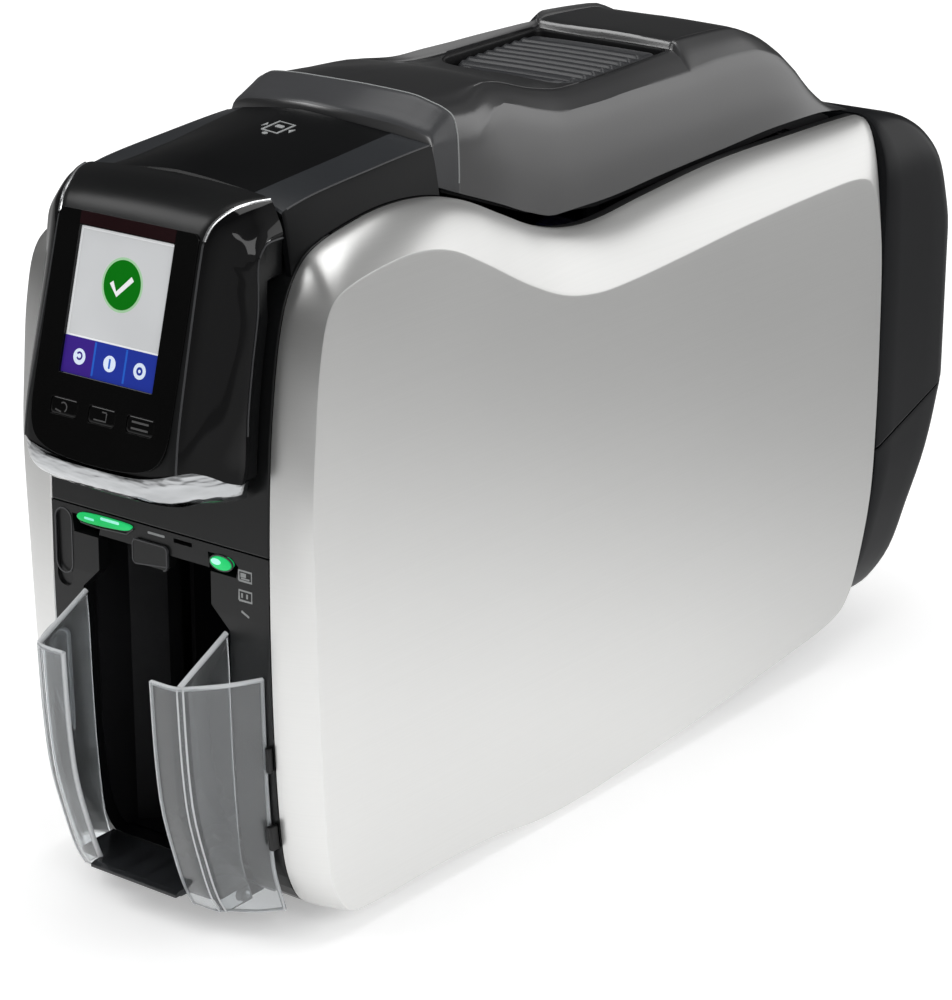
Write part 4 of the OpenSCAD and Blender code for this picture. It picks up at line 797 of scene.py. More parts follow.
def make_head():
    rings = []
    for row in HEAD_FINE:
        half = half_ring(row)
        rings.append(half + [(-x, y, z) for x, y, z in half[:0:-1]])
    holes = face_holes(0.5, 1.5, (1.3, 1.5), 0.6, (-6.5, 6), (-2.2, 6))
    piece("head_case", *loft(rings, (centre_of(rings[0]), centre_of(rings[-1]))), "charcoal",
          replaces=("head_shell",), angle=30, cutters=[lip_cutter(0.15, True), *holes])


def make_cheek(side, name, replaces=()):
    """Glossy inset of the flank, a hair proud of the case."""
    outer, inner = [], []
    for row in HEAD_FINE:
        sag = row[5] * 0.7
        curve = spline(flank_keys(row), 6)[1:]
        up, down = [], []
        last = len(curve) - 1
        for i, (x, u) in enumerate(curve):
            edge = min(1.0, min(i, last - i) / 2.0)
            bulge = 0.15 + 0.75 * math.sin(math.pi * min(1, (i + 0.4) / (last + 0.8))) ** 0.6 * edge
            p = head_point(row, x, u, -sag * (1 - i / last) * 0.8)
            up.append((side * (p[0] + bulge * 0.75), p[1] - bulge * 0.65, p[2]))
            down.append((side * (p[0] - 1.0), p[1] + 1.0, p[2]))
        outer.append(up)
        inner.append(down)
    piece(name, *slab(outer, inner), "gloss", replaces=replaces, cutters=[lip_cutter(0.5, True)],
          angle=40)


make_head()
make_cheek(1, "cheek_right", ("head_flanks",))
make_cheek(-1, "cheek_left")


def cheek_bead(side, name):
    """Thin edge between the face and the glossy flank. Its bead is a paler grey that stands in for the
    edge's highlight, and light metal round the brow where that highlight is brightest: painted highlights.
    """
    path = []
    for row in HEAD_FINE[7:]:
        x, y, z = head_point(row, FACE_HALF + row[6] + 0.15, 0.035, -row[5] * 0.7)
        path.append((side * x, y - 0.1, z))
    wire(name, path[:36], 0.42, "rim", sides=8)
    wire(name + "_top", path[35:], 0.75, "bead")


# Paler grey bead along the flank's rear edge: a painted highlight line.
def rear_bead(side, name):
    path = []
    for row in HEAD_FINE[12:]:
        x, y, z = head_point(row, 49.75, row[4] - 0.02, 0)
        path.append((side * x, y, z))
    wire(name, path, 0.45, "rim", sides=8)


def cheek_painted_glint(side, name):
    """Light metal piece at the upper rear corner of the glossy flank: a painted reflection of a bright
    light.
    """
    outer, inner = [], []
    for k, row in enumerate(HEAD_FINE[50:62]):
        up, down = [], []
        for j in range(7):
            q = lerp(0.66 - 0.02 * k, 0.97, j / 6)
            x, y, z = head_point(row, lerp(FACE_HALF + row[6], HEAD_HALF, q * 0.97), (row[4] - 0.03) * q,
                                 -row[5] * 0.7 * (1 - q) * 0.8)
            bulge = 0.55 + 0.75 * math.sin(math.pi * q) ** 0.6
            up.append((side * (x + bulge * 0.75), y - bulge * 0.65, z))
            down.append((side * (x - 0.6), y + 0.6, z))
        outer.append(up)
        inner.append(down)
    piece(name, *slab(outer, inner), "bead", angle=40)


for make_detail, stem in ((cheek_bead, "flank_bead"), (rear_bead, "flank_rear_bead"),
                          (cheek_painted_glint, "flank_facet")):
    for side, word in SIDES:
        make_detail(side, f"{stem}_{word}")

# Chrome lip under the head
LIP_HALF = [(49, -3), (49.9, -6), (50, -9), (47.5, -13.5), (44, -18), (40, -23.2), (36, -27.6),
            (28, -30.4), (14, -31.3), (0, -31.5)]
LIP_INSET = Curve([(171, 6), (171.4, 5.2), (172, 4.4), (174.5, 2), (178, 0.6), (182, 0.2), (191, 0)])


def make_lip():
    fine = spline(LIP_HALF, 5)
    loop = [(x, y) for x, y in fine] + [(-x, y) for x, y in fine[-2::-1]]
    rings = []
    for z in (171, 171.2, 171.6, 172.2, 173, 174, 175.2, 176.6, 178.2, 180, 182, 184, 186, 188, 190.5):
        d = LIP_INSET(z)
        rings.append([(x * (1 - d / 50), FRONT_Y + y + (d if y < -5 else d * max(0, -y - 3) / 2), z)
                      for x, y in loop])
    tube_of_rings("lip_skin", rings, "lip", replaces=("head_lip",), cutters=[lip_cutter(-0.15, False)],
                  bevel=0.35, angle=40)


make_lip()

# Black window with its rounded lower end, the screen's opening and the three key holes
WINDOW_SIDE = [(33.4, 52), (33.5, 20), (33.5, -6), (33.1, -15), (31.6, -21), (28.3, -25.2),
               (22.5, -27.8), (14, -29.2), (4, -29.75)]


def make_window():
    side = spline(WINDOW_SIDE, 4)
    corner = [(33.4 - 3 * (1 - math.cos(math.radians(a))), 54.6 + 3 * math.sin(math.radians(a)))
              for a in range(90, 0, -15)]
    right = corner + side
    outline = right + [(-x, y) for x, y in right[::-1]]
    holes = face_holes(0.3, 1.3, (0.2, 0.4), 0.5, (-4, 4), (-4, 4))
    plate = piece("window_plate", *prism(outline, -1.4, 0.4, on_face), "glass",
                  replaces=("display_window",), bevel=0.3, segments=3, angle=35, cutters=holes)
    flat_big(plate)


make_window()


def key_cap(x, word):
    rings = []
    for d, w in ((0, -4.8), (0, -0.1), (0.12, 0.14), (0.4, 0.28), (0.9, 0.34)):
        outline = round_rect(KEY_W - 2 * d, KEY_H - 2 * d, 1.2, x, KEY_V, steps=4)
        rings.append([on_face(u, v, w) for u, v in outline])
    tube_of_rings(f"{word}_key_cap", rings, "glass", body=f"{word}_key", replaces=(f"key_{word}",))


for x, word in zip(KEY_XS, ("left", "middle", "right")):
    key_cap(x, word)


def flat_mark(name, shapes, low, high, material, body="chassis", place=on_face):
    parts = [prism(s, low, high, place) for s in shapes]
    piece(name, *join_shapes(parts), material, body=body)


# Faint marks on the keys: a returning arc, an open box and two bars
KEY_MARKS = {
    "left": [stroke(arc(-17.8, -12.2, 1.7, -60, 130), 0.5), stroke([(-21.5, -13.4), (-18.6, -14)], 0.5)],
    "middle": [stroke([(-2.6, -13.6), (3.2, -13.6), (3.2, -10.6)], 0.5),
               stroke([(1.0, -10.4), (3.2, -10.4)], 0.5)],
    "right": [stroke([(15.4, -10.9), (23.4, -10.9)], 0.7), stroke([(15.4, -13.2), (23.4, -13.2)], 0.7)],
}
for word, shapes in KEY_MARKS.items():
    flat_mark(f"{word}_key_mark", shapes, 0.33, 0.4, "key_mark", f"{word}_key")

# Screen: white area with a bright border, green disc with a tick, and a bar of three tiles
BAR_V, DISC_PLACE = 6.7, (0.5, 34.6)
flat_mark("screen_back", [round_rect(SCREEN_W, SCREEN_H, 0.4, 0, SCREEN_V)], -2.1, -0.75, "bright_screen")
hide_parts("display_panel")
flat_mark("screen_field", [round_rect(43.4, 37.4, 0.2, 0.1, 32.7)], -0.76, -0.7, "white_screen")
flat_mark("screen_bar", [round_rect(SCREEN_W, 13.3, 0.2, 0, BAR_V)], -0.76, -0.66, "blue_screen")
flat_mark("screen_tile_left", [round_rect(14.4, 13.1, 0.2, -15.3, BAR_V)], -0.67, -0.62, "violet_screen")
flat_mark("screen_separators", [round_rect(0.9, 12, 0.2, -7.6, 6.9), round_rect(0.9, 12, 0.2, 7.5, 6.9)],
          -0.67, -0.6, "sky_screen")
flat_mark("screen_disc_halo", [disc(9.7, *DISC_PLACE, 56)], -0.71, -0.66, "halo_screen")
flat_mark("screen_disc", [disc(8.8, *DISC_PLACE, 56)], -0.67, -0.62, "green_screen")
TICK = [(-4.6, 34.9), (-1.6, 31.0), (5.1, 37.4)]
flat_mark("screen_tick", [stroke(TICK, 1.9)], -0.63, -0.58, "bright_screen")
flat_mark("screen_icons", [disc(2.9, x, 6.6, 32) for x in (-14.6, 0.1, 14.6)], -0.63, -0.56,
          "pale_screen")
flat_mark("screen_icon_left", [stroke(arc(-14.6, 6.9, 1.2, -150, 150), 0.7)], -0.57, -0.53,
          "violet_screen")
flat_mark("screen_icon_middle", [round_rect(0.9, 3.6, 0.4, 0.1, 6.6)], -0.57, -0.53, "sky_screen")
flat_mark("screen_icon_right", [disc(1.5, 14.6, 6.6, 20)], -0.57, -0.53, "blue_screen")
flat_mark("screen_icon_hub", [disc(0.6, 14.6, 6.6, 14)], -0.54, -0.5, "pale_screen")
flat_mark("screen_shade", [round_rect(45.6, 4.6, 0.5, 0, 55.2)], 0.38, 0.46, "dark_screen")

# ---------------------------------------------------------------- ribbon door
DOOR_SKIRT = Curve([(-130, 270), (-113, 265.4), (-101, 261), (-73, 251), (-54, 243.8), (-37, 239.6),
                    (-8, 239.6), (32, 242), (75, 244.4), (120, 246.8), (147, 247), (172, 244.6),
                    (176, 244)])
# Half section near the front edge: half width, share of the height between skirt and crown
RIM_COLS = [(49.3, 0), (49.25, 0.27), (49.15, 0.41), (48.9, 0.556), (47.5, 0.723), (44.5, 0.8),
            (40.5, 0.852), (33, 0.925), (16, 0.985), (0, 1)]
DOOR_SHOULDER = Curve([(-130, 287), (-112, 288), (-98, 291), (-77, 291), (-65, 287.8), (-38, 279.4),
                       (-25, 276.8), (0, 276.8), (16, 277.6), (60, 278.4), (83, 279.8), (108, 279.2),
                       (124, 275.4), (136, 269), (151, 256.5), (166, 247), (176, 244.8)])
DOOR_RIDGE = Curve([(-130, 296), (-98, 296), (-57, 291.6), (-31, 285), (-14, 282.4), (0, 282.2),
                    (16, 283), (51, 285.4), (60.5, 286.1), (61.3, 287.7), (62.2, 288.8), (66, 289.6),
                    (100, 289), (114, 285.6), (136, 275), (150, 262.5), (166, 249.6), (176, 245.6)])
DOOR_MID = Curve([(-130, 298), (-98, 298), (-57, 294.4), (-40, 289.4), (-26, 286), (-13.5, 284.3),
                  (0, 284.6), (55, 286.4), (60.5, 286.9), (61.2, 289.2), (62, 290.4), (66, 290.9),
                  (72, 291), (100, 290.4), (114, 286.4), (136, 276.2), (150, 264), (166, 250.4),
                  (176, 246)])
LEFT_RISE = Curve([(-98, 0), (-70, 0.4), (-57, 1.2), (-31, 5.2), (-14, 8.2), (0, 8.4), (16, 7.8),
                   (51, 5.4), (60, 4.8), (90, 3.6), (107, 2.8), (125, 1.4), (140, 0.4), (150, 0)])
# Columns from the skirt to the middle: half width, share of the left side's extra height
DOOR_COLS = [(49.3, 0), (47.6, 0.3), (45.2, 0.68), (43.4, 0.85), (38.6, 0.97), (34.6, 0.95), (33.2, 0.5),
             (31, 0.2), (12, 0), (0, 0)]
RIM_SHARE = Curve([(0, 0), (0.9, 0.34), (5, 0.6), (10, 0.86), (13.6, 1), (18, 1)])
RIM_CREST = Curve([(0, 0), (8, 0.1), (11.5, 0.45), (14, 0.85), (15.2, 0.9), (15.8, 0.5), (16.3, 0.05),
                   (17.5, 0), (30, 0)])


CREST_AT = 15.2


def door_heights(y, side):
    k, s, r, m = DOOR_SKIRT(y), DOOR_SHOULDER(y), DOOR_RIDGE(y), DOOR_MID(y)
    base = [k, lerp(k, s, 0.42), lerp(k, s, 0.84), s, lerp(s, r, 0.62), r, lerp(r, m, 0.25),
            lerp(r, m, 0.5), lerp(r, m, 0.9), m]
    rise = LEFT_RISE(y) if side < 0 else 0
    return [z + rise * c[1] for z, c in zip(base, DOOR_COLS)]


def door_section(y, side):
    """Half section of the door: smooth below and above the shoulder."""
    pts = [(c[0], z) for c, z in zip(DOOR_COLS, door_heights(y, side))]
    low = spline(pts[:4], 5)
    high = spline(pts[3:6], 4)
    crown = spline(pts[5:], 5)
    full = low[:-1] + high[:-1] + crown
    share = max(0.0, min(1.0, (-60 - y) / 30))
    if share:
        share = share * share * (3 - 2 * share)
        k, m = DOOR_SKIRT(y), DOOR_MID(y)
        front = spline([(x, lerp(k, m, s)) for x, s in RIM_COLS], 20)
        marks = list(range(0, 60, 4)) + list(range(60, 100, 5)) + list(range(100, 181, 4))
        full = [(lerp(a[0], front[j][0], share), lerp(a[1], front[j][1], share))
                for a, j in zip(full, marks)]
    return full


def door_rows():
    """Rows behind the front edge by their distance from it, then rows at a fixed place."""
    rows = [(d, None) for d in (0, 0.4, 0.9, 1.8, 3, 4.5, 6, 8, 10, 11.5, 12.6, 13.4, 14, 14.6, 15.2,
                                15.6, 15.9, 16.2, 16.5, 17.2, 18.5)]
    ys = [-91, -84, -77, -70, -63, -57, -52, -47, -42, -38, -34, -30, -26, -22, -18, -13.5, -8, -2,
          5, 12, 20, 28, 36, 44, 50, 55, 58, 59.5, 60.2, 60.5, 60.8, 61.1, 61.4, 61.8, 62.3, 63.2,
          65, 68, 72, 80, 90, 98, 104, 110, 115, 120, 125, 130, 135, 140, 145, 150, 155, 160, 164,
          168, 171, 173, 174]
    return rows + [(None, y) for y in ys]


def rim_point(i, side, d):
    """Point i of the section at distance d behind the curved front edge, raised to the rim."""
    x = door_section(0, side)[i][0]
    for _ in range(3):
        y = door_front(min(CHAMFER_OUT, x)) + d
        x = door_section(y, side)[i][0]
    x, z = door_section(y, side)[i]
    crest = RIM_CREST(d)
    if i:
        z = lerp(min(z, deck_z(x, y) - 1.0), z, RIM_SHARE(d)) + crest * min(1, i / 6)
    return x + 0.45 * crest * (1 - min(1, i / 15)) * (0.4 + 0.6 * min(1, i / 3)), y, z


def make_door():
    count = len(door_section(0, 1))
    outer, inner = [], []
    for d, fixed in door_rows():
        up, down = [], []
        for side in (-1, 1):
            pts, low = [], []
            for i in range(count):
                if fixed is None:
                    x, y, z = rim_point(i, side, d)
                else:
                    (x, z), y = door_section(fixed, side)[i], fixed
                pts.append((side * x, y, z))
                wall = 2.2 if i < 12 else lerp(2.2, 0, min(1, (i - 12) / 6))
                low.append((side * (x - wall), y, z - min(2.2, 0.35 * i)))
            up += pts if side < 0 else pts[-2::-1]
            down += low if side < 0 else low[-2::-1]
        outer.append(up)
        inner.append(down)
        if d == CREST_AT:
            edge = [(x, y, z - 0.12) for x, y, z in up[2:-2]]
    # Pale grey bead along the crest of the front band: a painted highlight line.
    wire("door_band_painted_highlight", edge, 0.34, "mark", sides=8, body="door")
    obj = piece("door_skin", *slab(outer, inner), "door", body="door", replaces=("ribbon_door",),
                cutters=[cutter(*prism(well_outline(0), 255, 300))], angle=30)
    paint_rim(obj)


WELL_Y0, WELL_Y1, WELL_HALF = -10.4, 60.3, 33.3


def well_outline(d, front_r=10.0, rear_r=4.0):
    h, y0, y1 = WELL_HALF + d, WELL_Y0 - d, WELL_Y1 + d
    out = []
    for cx, cy, r, a0 in ((h - front_r, y0 + front_r, front_r, -90), (h - rear_r, y1 - rear_r, rear_r, 0),
                          (-h + rear_r, y1 - rear_r, rear_r, 90),
                          (-h + front_r, y0 + front_r, front_r, 180)):
        out += arc(cx, cy, r, a0, a0 + 90, 6)
    return out


def paint_rim(obj):
    """The band along the front edge has its own paler finish."""
    obj.data.materials.append(M["rim"])
    for poly in obj.data.polygons:
        c = poly.center / MM
        d = c.y - door_front(min(49, abs(c.x)))
        if 0.9 < d < 15.9 and poly.normal.z + abs(poly.normal.x) + max(0, -poly.normal.y) > 0.2:
            poly.material_index = 1


def door_top(x, y):
    """Height of the door's surface at a place."""
    sec = door_section(y, -1 if x < 0 else 1)
    return table([(a, b) for a, b in sec[::-1]], abs(x))


def make_tray():
    """Recess behind the hole in the door: rim, walls and sloping floor."""
    def floor_z(y):
        return PAD_Z - 5.9 + (y + 7.5) * 0.0815

    rings = []
    for d, drop in ((1.4, 2.6), (1.4, 2.3), (0.1, 2.0), (-0.12, 1.0), (-0.12, 0.25), (-0.35, 0.12),
                    (-0.6, 0.2), (-0.75, 0.5), (-0.8, 1.2)):
        rings.append([(x, y, door_top(x, y) - drop) for x, y in well_outline(d)])
    for d, z in ((-0.85, 2.0), (-1.1, 0.7), (-1.8, 0.1), (-3, 0), (-12, 0)):
        outline = well_outline(d, max(1.5, 10 + d), max(1.0, 4 + d))
        rings.append([(x, y, floor_z(y) + z) for x, y in outline])
    rings.insert(0, [(x, y, floor_z(y) - 1.4) for x, y in well_outline(1.4)])
    ends = ((0, 25, floor_z(25) - 1.4), (0, 25, floor_z(25)))
    slots = [cutter(*prism([(x - 3.2, 11.2), (x + 3.2, 11.2), (x + 3.2, 23.8), (x - 3.2, 23.8)], 262, 300))
             for x in (-20, 20)]
    piece("pad_tray", *loft(rings, ends), "black", body="door", replaces=("pad_well",), cutters=slots,
          angle=35)


make_door()
make_tray()


def make_pad():
    """Pad with cross ribs; its top falls towards the front."""
    y0, y1, half = -2.0, 55.2, 31.0
    ribs = [2.5 + k * 6 for k in range(8)]

    def width(y):
        w = half
        if y < y0 + 9:
            w -= 9 - math.sqrt(max(0, 81 - (y0 + 9 - y) ** 2))
        if y > y1 - 3:
            w -= 3 - math.sqrt(max(0, 9 - (y - y1 + 3) ** 2))
        return w

    ys = [y0 + 0.02, y0 + 0.3, y0 + 0.9, y0 + 1.8, y0 + 2.8, y0 + 3.8]
    y = y0 + 4.4
    while y < y1 - 3.1:
        ys.append(y)
        y += 0.5
    ys += [y1 - 2.8, y1 - 2.2, y1 - 1.5, y1 - 0.8, y1 - 0.3, y1 - 0.02]
    ends = [0.8, 0.85, 0.87, 0.885, 0.9, 0.93, 0.96, 0.985, 1]
    us = [-u for u in ends[::-1]] + [-0.75 + 0.15 * k for k in range(11)] + ends
    outer, inner = [], []
    for y in ys:
        w = width(y)
        up, low = [], []
        for u in us:
            x = u * w
            top = table([(y0, PAD_Z - 0.2), (y0 + 2, PAD_Z + 1.4), (y1 - 3, PAD_Z + 4.5),
                         (y1, PAD_Z + 4.2)], y)
            edge = min(1.0, (w - abs(x)) / 1.6, (y - y0) / 1.6 + 0.01, (y1 - y) / 1.6 + 0.01)
            z = top - 0.9 * (1 - edge) ** 2
            share = max(0.0, min(1.0, (0.985 - abs(u)) / 0.05))
            for r in ribs:
                q = abs(y - r) / 1.55
                if q < 1:
                    z += 1.15 * share * math.cos(q * math.pi / 2) ** 0.7
                elif q < 1.9:
                    z -= 0.25 * share * (1.9 - q)
            z += 0.35 * (1 - (x / half) ** 2) * min(1, (y - y0) / 8)
            up.append((x, y, z))
            low.append((x, y, table([(y0, PAD_Z - 1.7), (y1, PAD_Z + 1.7)], y)))
        outer.append(up)
        inner.append(low)
    piece("latch_pad_skin", *slab(outer, inner), "pad", body="latch", replaces=("latch_pad",), angle=40)
    wire("latch_pad_pin", [(x, 52.5, PAD_Z + 2.4) for x in (-32.7, -20, 20, 32.7)], 1.15, "black",
         sides=16, body="latch")


make_pad()

# ---------------------------------------------------------------- rear housing
BACK_FACE = Curve([(22, 186), (40, 205), (60, 218), (84, 233), (106, 241), (118, REAR_Y), (182, REAR_Y),
                   (200, 240), (216, 234), (228, 224), (236, 212), (242, 190)])
FRONT_FACE = [(22, 150), (30, 158.5), (49, 169), (76, 177), (90, PANEL_REAR + 7.3),
              (300, PANEL_REAR + 7.3)]
HOUSING_HALF = HALF_W - 4


def housing_ring(z, slope, narrower, r):
    """Section of the housing, its rear falling by the slope; narrower moves both sides in."""
    half = HOUSING_HALF - narrower
    y0, y1 = table(FRONT_FACE, z - slope * 40), BACK_FACE(z)
    rr = min(r, (y1 - y0) / 2.2)
    right = [(half - 2, y0), (half - 0.6, y0 + 0.4), (half, y0 + 2)]
    right += [(half, lerp(y0 + 2, y1 - rr, k / 4)) for k in (1, 2, 3)]
    right += [(half - r + r * math.cos(math.radians(a)), y1 - rr + rr * math.sin(math.radians(a)))
              for a in range(0, 91, 9)]
    right += [(half * 0.5, y1), (half * 0.25, y1)]
    loop = right + [(0, y1)] + [(-x, y) for x, y in right[::-1]]
    return [(x, y, z - slope * (y1 - y)) for x, y in loop]


def housing(name, keys, rise, node, cutters):
    """Housing part through its key sections, with ends that close over a half-size ring."""
    rings = [housing_ring(*k) for k in spline(keys, 4)]
    centres, halves = [], []
    for ring, lift in ((rings[0], 0), (rings[-1], rise)):
        c = centre_of(ring)
        halves.append([tuple(lerp(p[k], c[k], 0.5) + (lift * 0.75 if k == 2 else 0) for k in range(3))
                       for p in ring])
        centres.append((c[0], c[1], c[2] + lift))
    piece(name, *loft([halves[0], *rings, halves[1]], centres), "housing", replaces=(node,),
          cutters=cutters, angle=34)


# Sections as height, slope, how much narrower, corner radius
SHELL_KEYS = [(114.2, 0.35, 0.5, 14), (114.8, 0.345, 0, 14), (118, 0.33, 0, 14), (136, 0.22, 0, 14),
              (156, 0.12, 0, 14), (182, 0.03, 0, 14), (200, 0, 0, 14), (216, 0, 0.6, 14),
              (228, 0, 3, 13), (236, 0, 7, 12), (240, 0, 11, 10), (242, 0, 15, 8)]
COVER_KEYS = [(22, 0, 12, 6), (28, 0.02, 6, 8), (40, 0.06, 2, 10), (60, 0.14, 0.4, 13), (84, 0.24, 0, 14),
              (104, 0.32, 0, 14), (112.8, 0.35, 0, 14), (113.5, 0.355, 0.5, 14)]
pockets = [cutter(*prism(round_rect(w, h, 1, x, 146), 230, 260, lambda x, z, y: (x, y, z)))
           for w, h, x in ((30.4, 22.4, -38), (44.4, 18.4, 24))]
housing("rear_shell", SHELL_KEYS, 0.5, "rear_housing", pockets)
slots = [cutter(*prism(round_rect(5.4, 24, 2.6, x, 212), 30, 62)) for x in range(-36, 37, 12)]
housing("rear_cover_skin", COVER_KEYS, 0, "rear_lower_cover", slots)

# ---------------------------------------------------------------- clear wings
WING_DEPTH = Curve([(9, 8), (16, 12), (30, 17), (58, 24), (80, 26), (104, 27)])
WING_BACK = Curve([(9, FRONT_Y + 9.5), (30, FRONT_Y + 3.5), (76, FRONT_Y + 0.5), (120, FRONT_Y - 0.3)])
WING_SIDE, WING_GAP, WING_T, WING_TOP, WING_FOOT = 36.5, 44.0, 2.0, 104.0, 9
PROFILE_STEPS = 5
CORNER_LINE = 3 * PROFILE_STEPS


def wing_profile(z, t, far):
    y0, y1, s = WING_BACK(z), FRONT_Y - WING_DEPTH(z), WING_SIDE
    keys = [(WING_GAP / 2, y1 + t), (26, y1 + t), (s - 6, y1 + t), (s - 2 - t * 0.4, y1 + 0.8 + t),
            (s + 1.5 - t * 0.7, y1 + 4 + t * 0.7),
            (lerp(s, far, 0.6) - t * 0.8, lerp(y0, y1, 0.45)), (far - t, y0)]
    return [(x, y, z) for x, y in spline(keys, PROFILE_STEPS)]


def make_wing(side, name, node):
    far = CORE_X - 2.7 - side * HOPPER_X
    zs = [WING_FOOT, 9.4, 10.4, 12, 14, 17, 20, 24, 28, 33, 38, 44, 50, 57, 64, 72, 80, 88, 95, 100,
          102.6, 103.6, WING_TOP]

    def put(p):
        return (HOPPER_X + side * p[0], p[1], p[2])

    outer = [[put(p) for p in wing_profile(z, 0, far)] for z in zs]
    inner = [[put(p) for p in wing_profile(z, WING_T, far)] for z in zs]
    piece(name + "_skin", *slab(outer, inner), "clear", body="card_guard", replaces=(node,), bevel=0.5,
          angle=50)
    # Inner wall beside the cards
    x1, x0 = WING_SIDE - 0.4, WING_SIDE - 0.4 - WING_T
    edge = [(WING_BACK(z) + 0.2, z) for z in zs] + [(FRONT_Y - 0.4, 118)]
    edge += [(FRONT_Y - WING_DEPTH(z) + WING_T + 0.1, z) for z in zs[::-1]]
    wall = prism(edge, x0, x1, lambda y, z, x: put((x, y, z)))
    piece(name + "_wall", *wall, "clear", body="card_guard", bevel=0.5, angle=50)
    # Whitish, less clear beads that stand in for the bright edges of the clear plastic, painted highlights:
    # rim of the lip, top edge of the skin, rear edge, foot and top of the wall, and the corner
    top = wing_profile(WING_TOP, WING_T / 2, far)
    foot = wing_profile(WING_FOOT, WING_T / 2, far)
    beads = {
        "lip_edge": ([(WING_GAP / 2 + 0.1, FRONT_Y - WING_DEPTH(z) + 1, z) for z in zs], 0.95),
        "top_edge": ([(p[0], p[1], WING_TOP - 0.25) for p in top], 0.85),
        "foot_edge": ([(p[0], p[1], 9.5) for p in foot], 0.8),
        "rear_edge": ([(far - 1.1, WING_BACK(z) - 0.25, z) for z in zs], 0.8),
        "wall_edge": ([(x0 + 1, FRONT_Y - 0.2, 117.6), (x0 + 1, FRONT_Y - 9, 113),
                       (x0 + 1, FRONT_Y - 18, 108.4), (x0 + 1, FRONT_Y - 25.2, 104.6)], 1.05),
        "corner_edge": ([wing_profile(z, 0.15, far)[CORNER_LINE + 3] for z in zs], 0.4),
        "corner_line": ([wing_profile(z, 0.1, far)[CORNER_LINE] for z in zs], 0.35),
    }
    for key, (path, radius) in beads.items():
        wire(f"{name}_{key}", [put(p) for p in path], radius, "clear_painted_highlight", body="card_guard")
    hinge = [put((x, FRONT_Y + 7, 11.5)) for x in (WING_SIDE - 7.4, WING_SIDE - 4, WING_SIDE - 1)]
    wire(f"{name}_stud", hinge, 1.45, "clear", sides=16, body="card_guard")


make_wing(1, "wing_r", "wing_right")
make_wing(-1, "wing_l", "wing_left")

# ---------------------------------------------------------------- softened copies of the hard parts
refined("hopper_bezel", "charcoal", bevel=0.45)
refined("head_frame", "charcoal", bevel=0.7, segments=3)
refined("wing_clips", "black", bevel=0.5)
refined("feet", "rubber", bevel=0.6)
refined("power_inlet", "black", bevel=0.3)
refined("data_ports", "socket", bevel=0.3)
refined("wing_bridge", "smoke", bevel=0.35)
refined("lift_plate", "inner", bevel=0.3)


# ---------------------------------------------------------------- small details of the front
def at_front(x, z, w):
    """Place on the front of the lower frame, w outwards."""
    return (x, frame_y(z) - w, z)


def front_mark(name, shapes, low, high, material):
    flat_mark(name, shapes, low, high, material, place=at_front)


# Three generic pictograms of a card, on the right of the channel
CARD_MARK_X = 42.6
for k, z in enumerate((141.3, 133.8, 127.0)):
    x = CARD_MARK_X
    frame_shape = [stroke([(x - 3, z - 1.9), (x + 3, z - 1.9), (x + 3, z + 1.9), (x - 3, z + 1.9),
                           (x - 3, z - 1.9)], 0.75)]
    extra = [[round_rect(2.6, 1.6, 0.2, x - 0.9, z + 0.3), round_rect(4, 0.6, 0.1, x, z - 1)],
             [stroke([(x + dx, z - 0.8), (x + dx, z + 0.9)], 0.8) for dx in (-1.6, 0.8)],
             [stroke([(x - 2, z + 0.8), (x + 1.6, z - 0.9)], 0.8)]][k]
    front_mark(f"card_mark_{k + 1}", (frame_shape if k < 2 else []) + extra, -0.1, 0.07, "mark")

# Raised tab over the middle of the channel, its edge, the slot mark above it and the side lock's edge
front_mark("centre_tab", [round_rect(16.5, 8.6, 1.6, HOPPER_X - 1, 139.4)], -1.5, 1.1, "charcoal")
front_mark("centre_tab_edge", [stroke([(x, z) for x, z in round_rect(17, 9.2, 1.8, HOPPER_X - 1, 139.4)]
                                      + [(HOPPER_X - 1 + 8.5, 136.6)], 0.45)], 0.2, 1.25, "rim")
front_mark("slot_mark", [round_rect(8.4, 0.9, 0.4, HOPPER_X + 1.5, 147.6)], -0.2, 0.12, "mark")
front_mark("lock_edge", [stroke(arc(-47.7, 143.5, 4.2, 180, 0, 10) + arc(-47.7, 126.5, 4.2, 0, -180, 10)
                                + [(-51.9, 143.5)], 0.5)], -0.2, 0.25, "rim")


def make_guides():
    """Two light guides that show over the edge of the channel."""
    left = [(-40, 146.4), (-38, 145), (-30, 144.8), (-16, 145.8), (-12.4, 147.4), (-14, 148.6),
            (-27, 148.8), (-37.5, 148.2)]
    shapes = [prism(spline(left, 3, closed=True), -1.5, 0.9, at_front),
              prism(disc(5.0, 31.4, 143.9, 28, squash=0.5), -1.5, 0.8, at_front)]
    piece("light_guides_skin", *join_shapes(shapes), "green_light", replaces=("light_guides",),
          bevel=0.4, segments=3, angle=40)
    front_mark("light_guide_rims", [stroke(disc(5.4, 31.4, 143.9, 28, squash=0.52) + [(36.8, 143.9)], 0.45),
                                    stroke([(-40.4, 146.4), (-38, 144.2), (-30, 143.8), (-15, 144.6),
                                            (-11.6, 147.2)], 0.45)], -0.2, 0.5, "rim")
    front_mark("light_guide_gleams", [disc(2.3, 29.4, 144.3, 20, squash=0.5),
                                      round_rect(9.5, 1.1, 0.5, -23, 148),
                                      round_rect(5, 0.9, 0.4, -33.5, 146.6)],
               0.85, 0.98, "teal_light")


make_guides()


def on_deck(x, y, w):
    return (x, y, deck_z(x, y) + w)


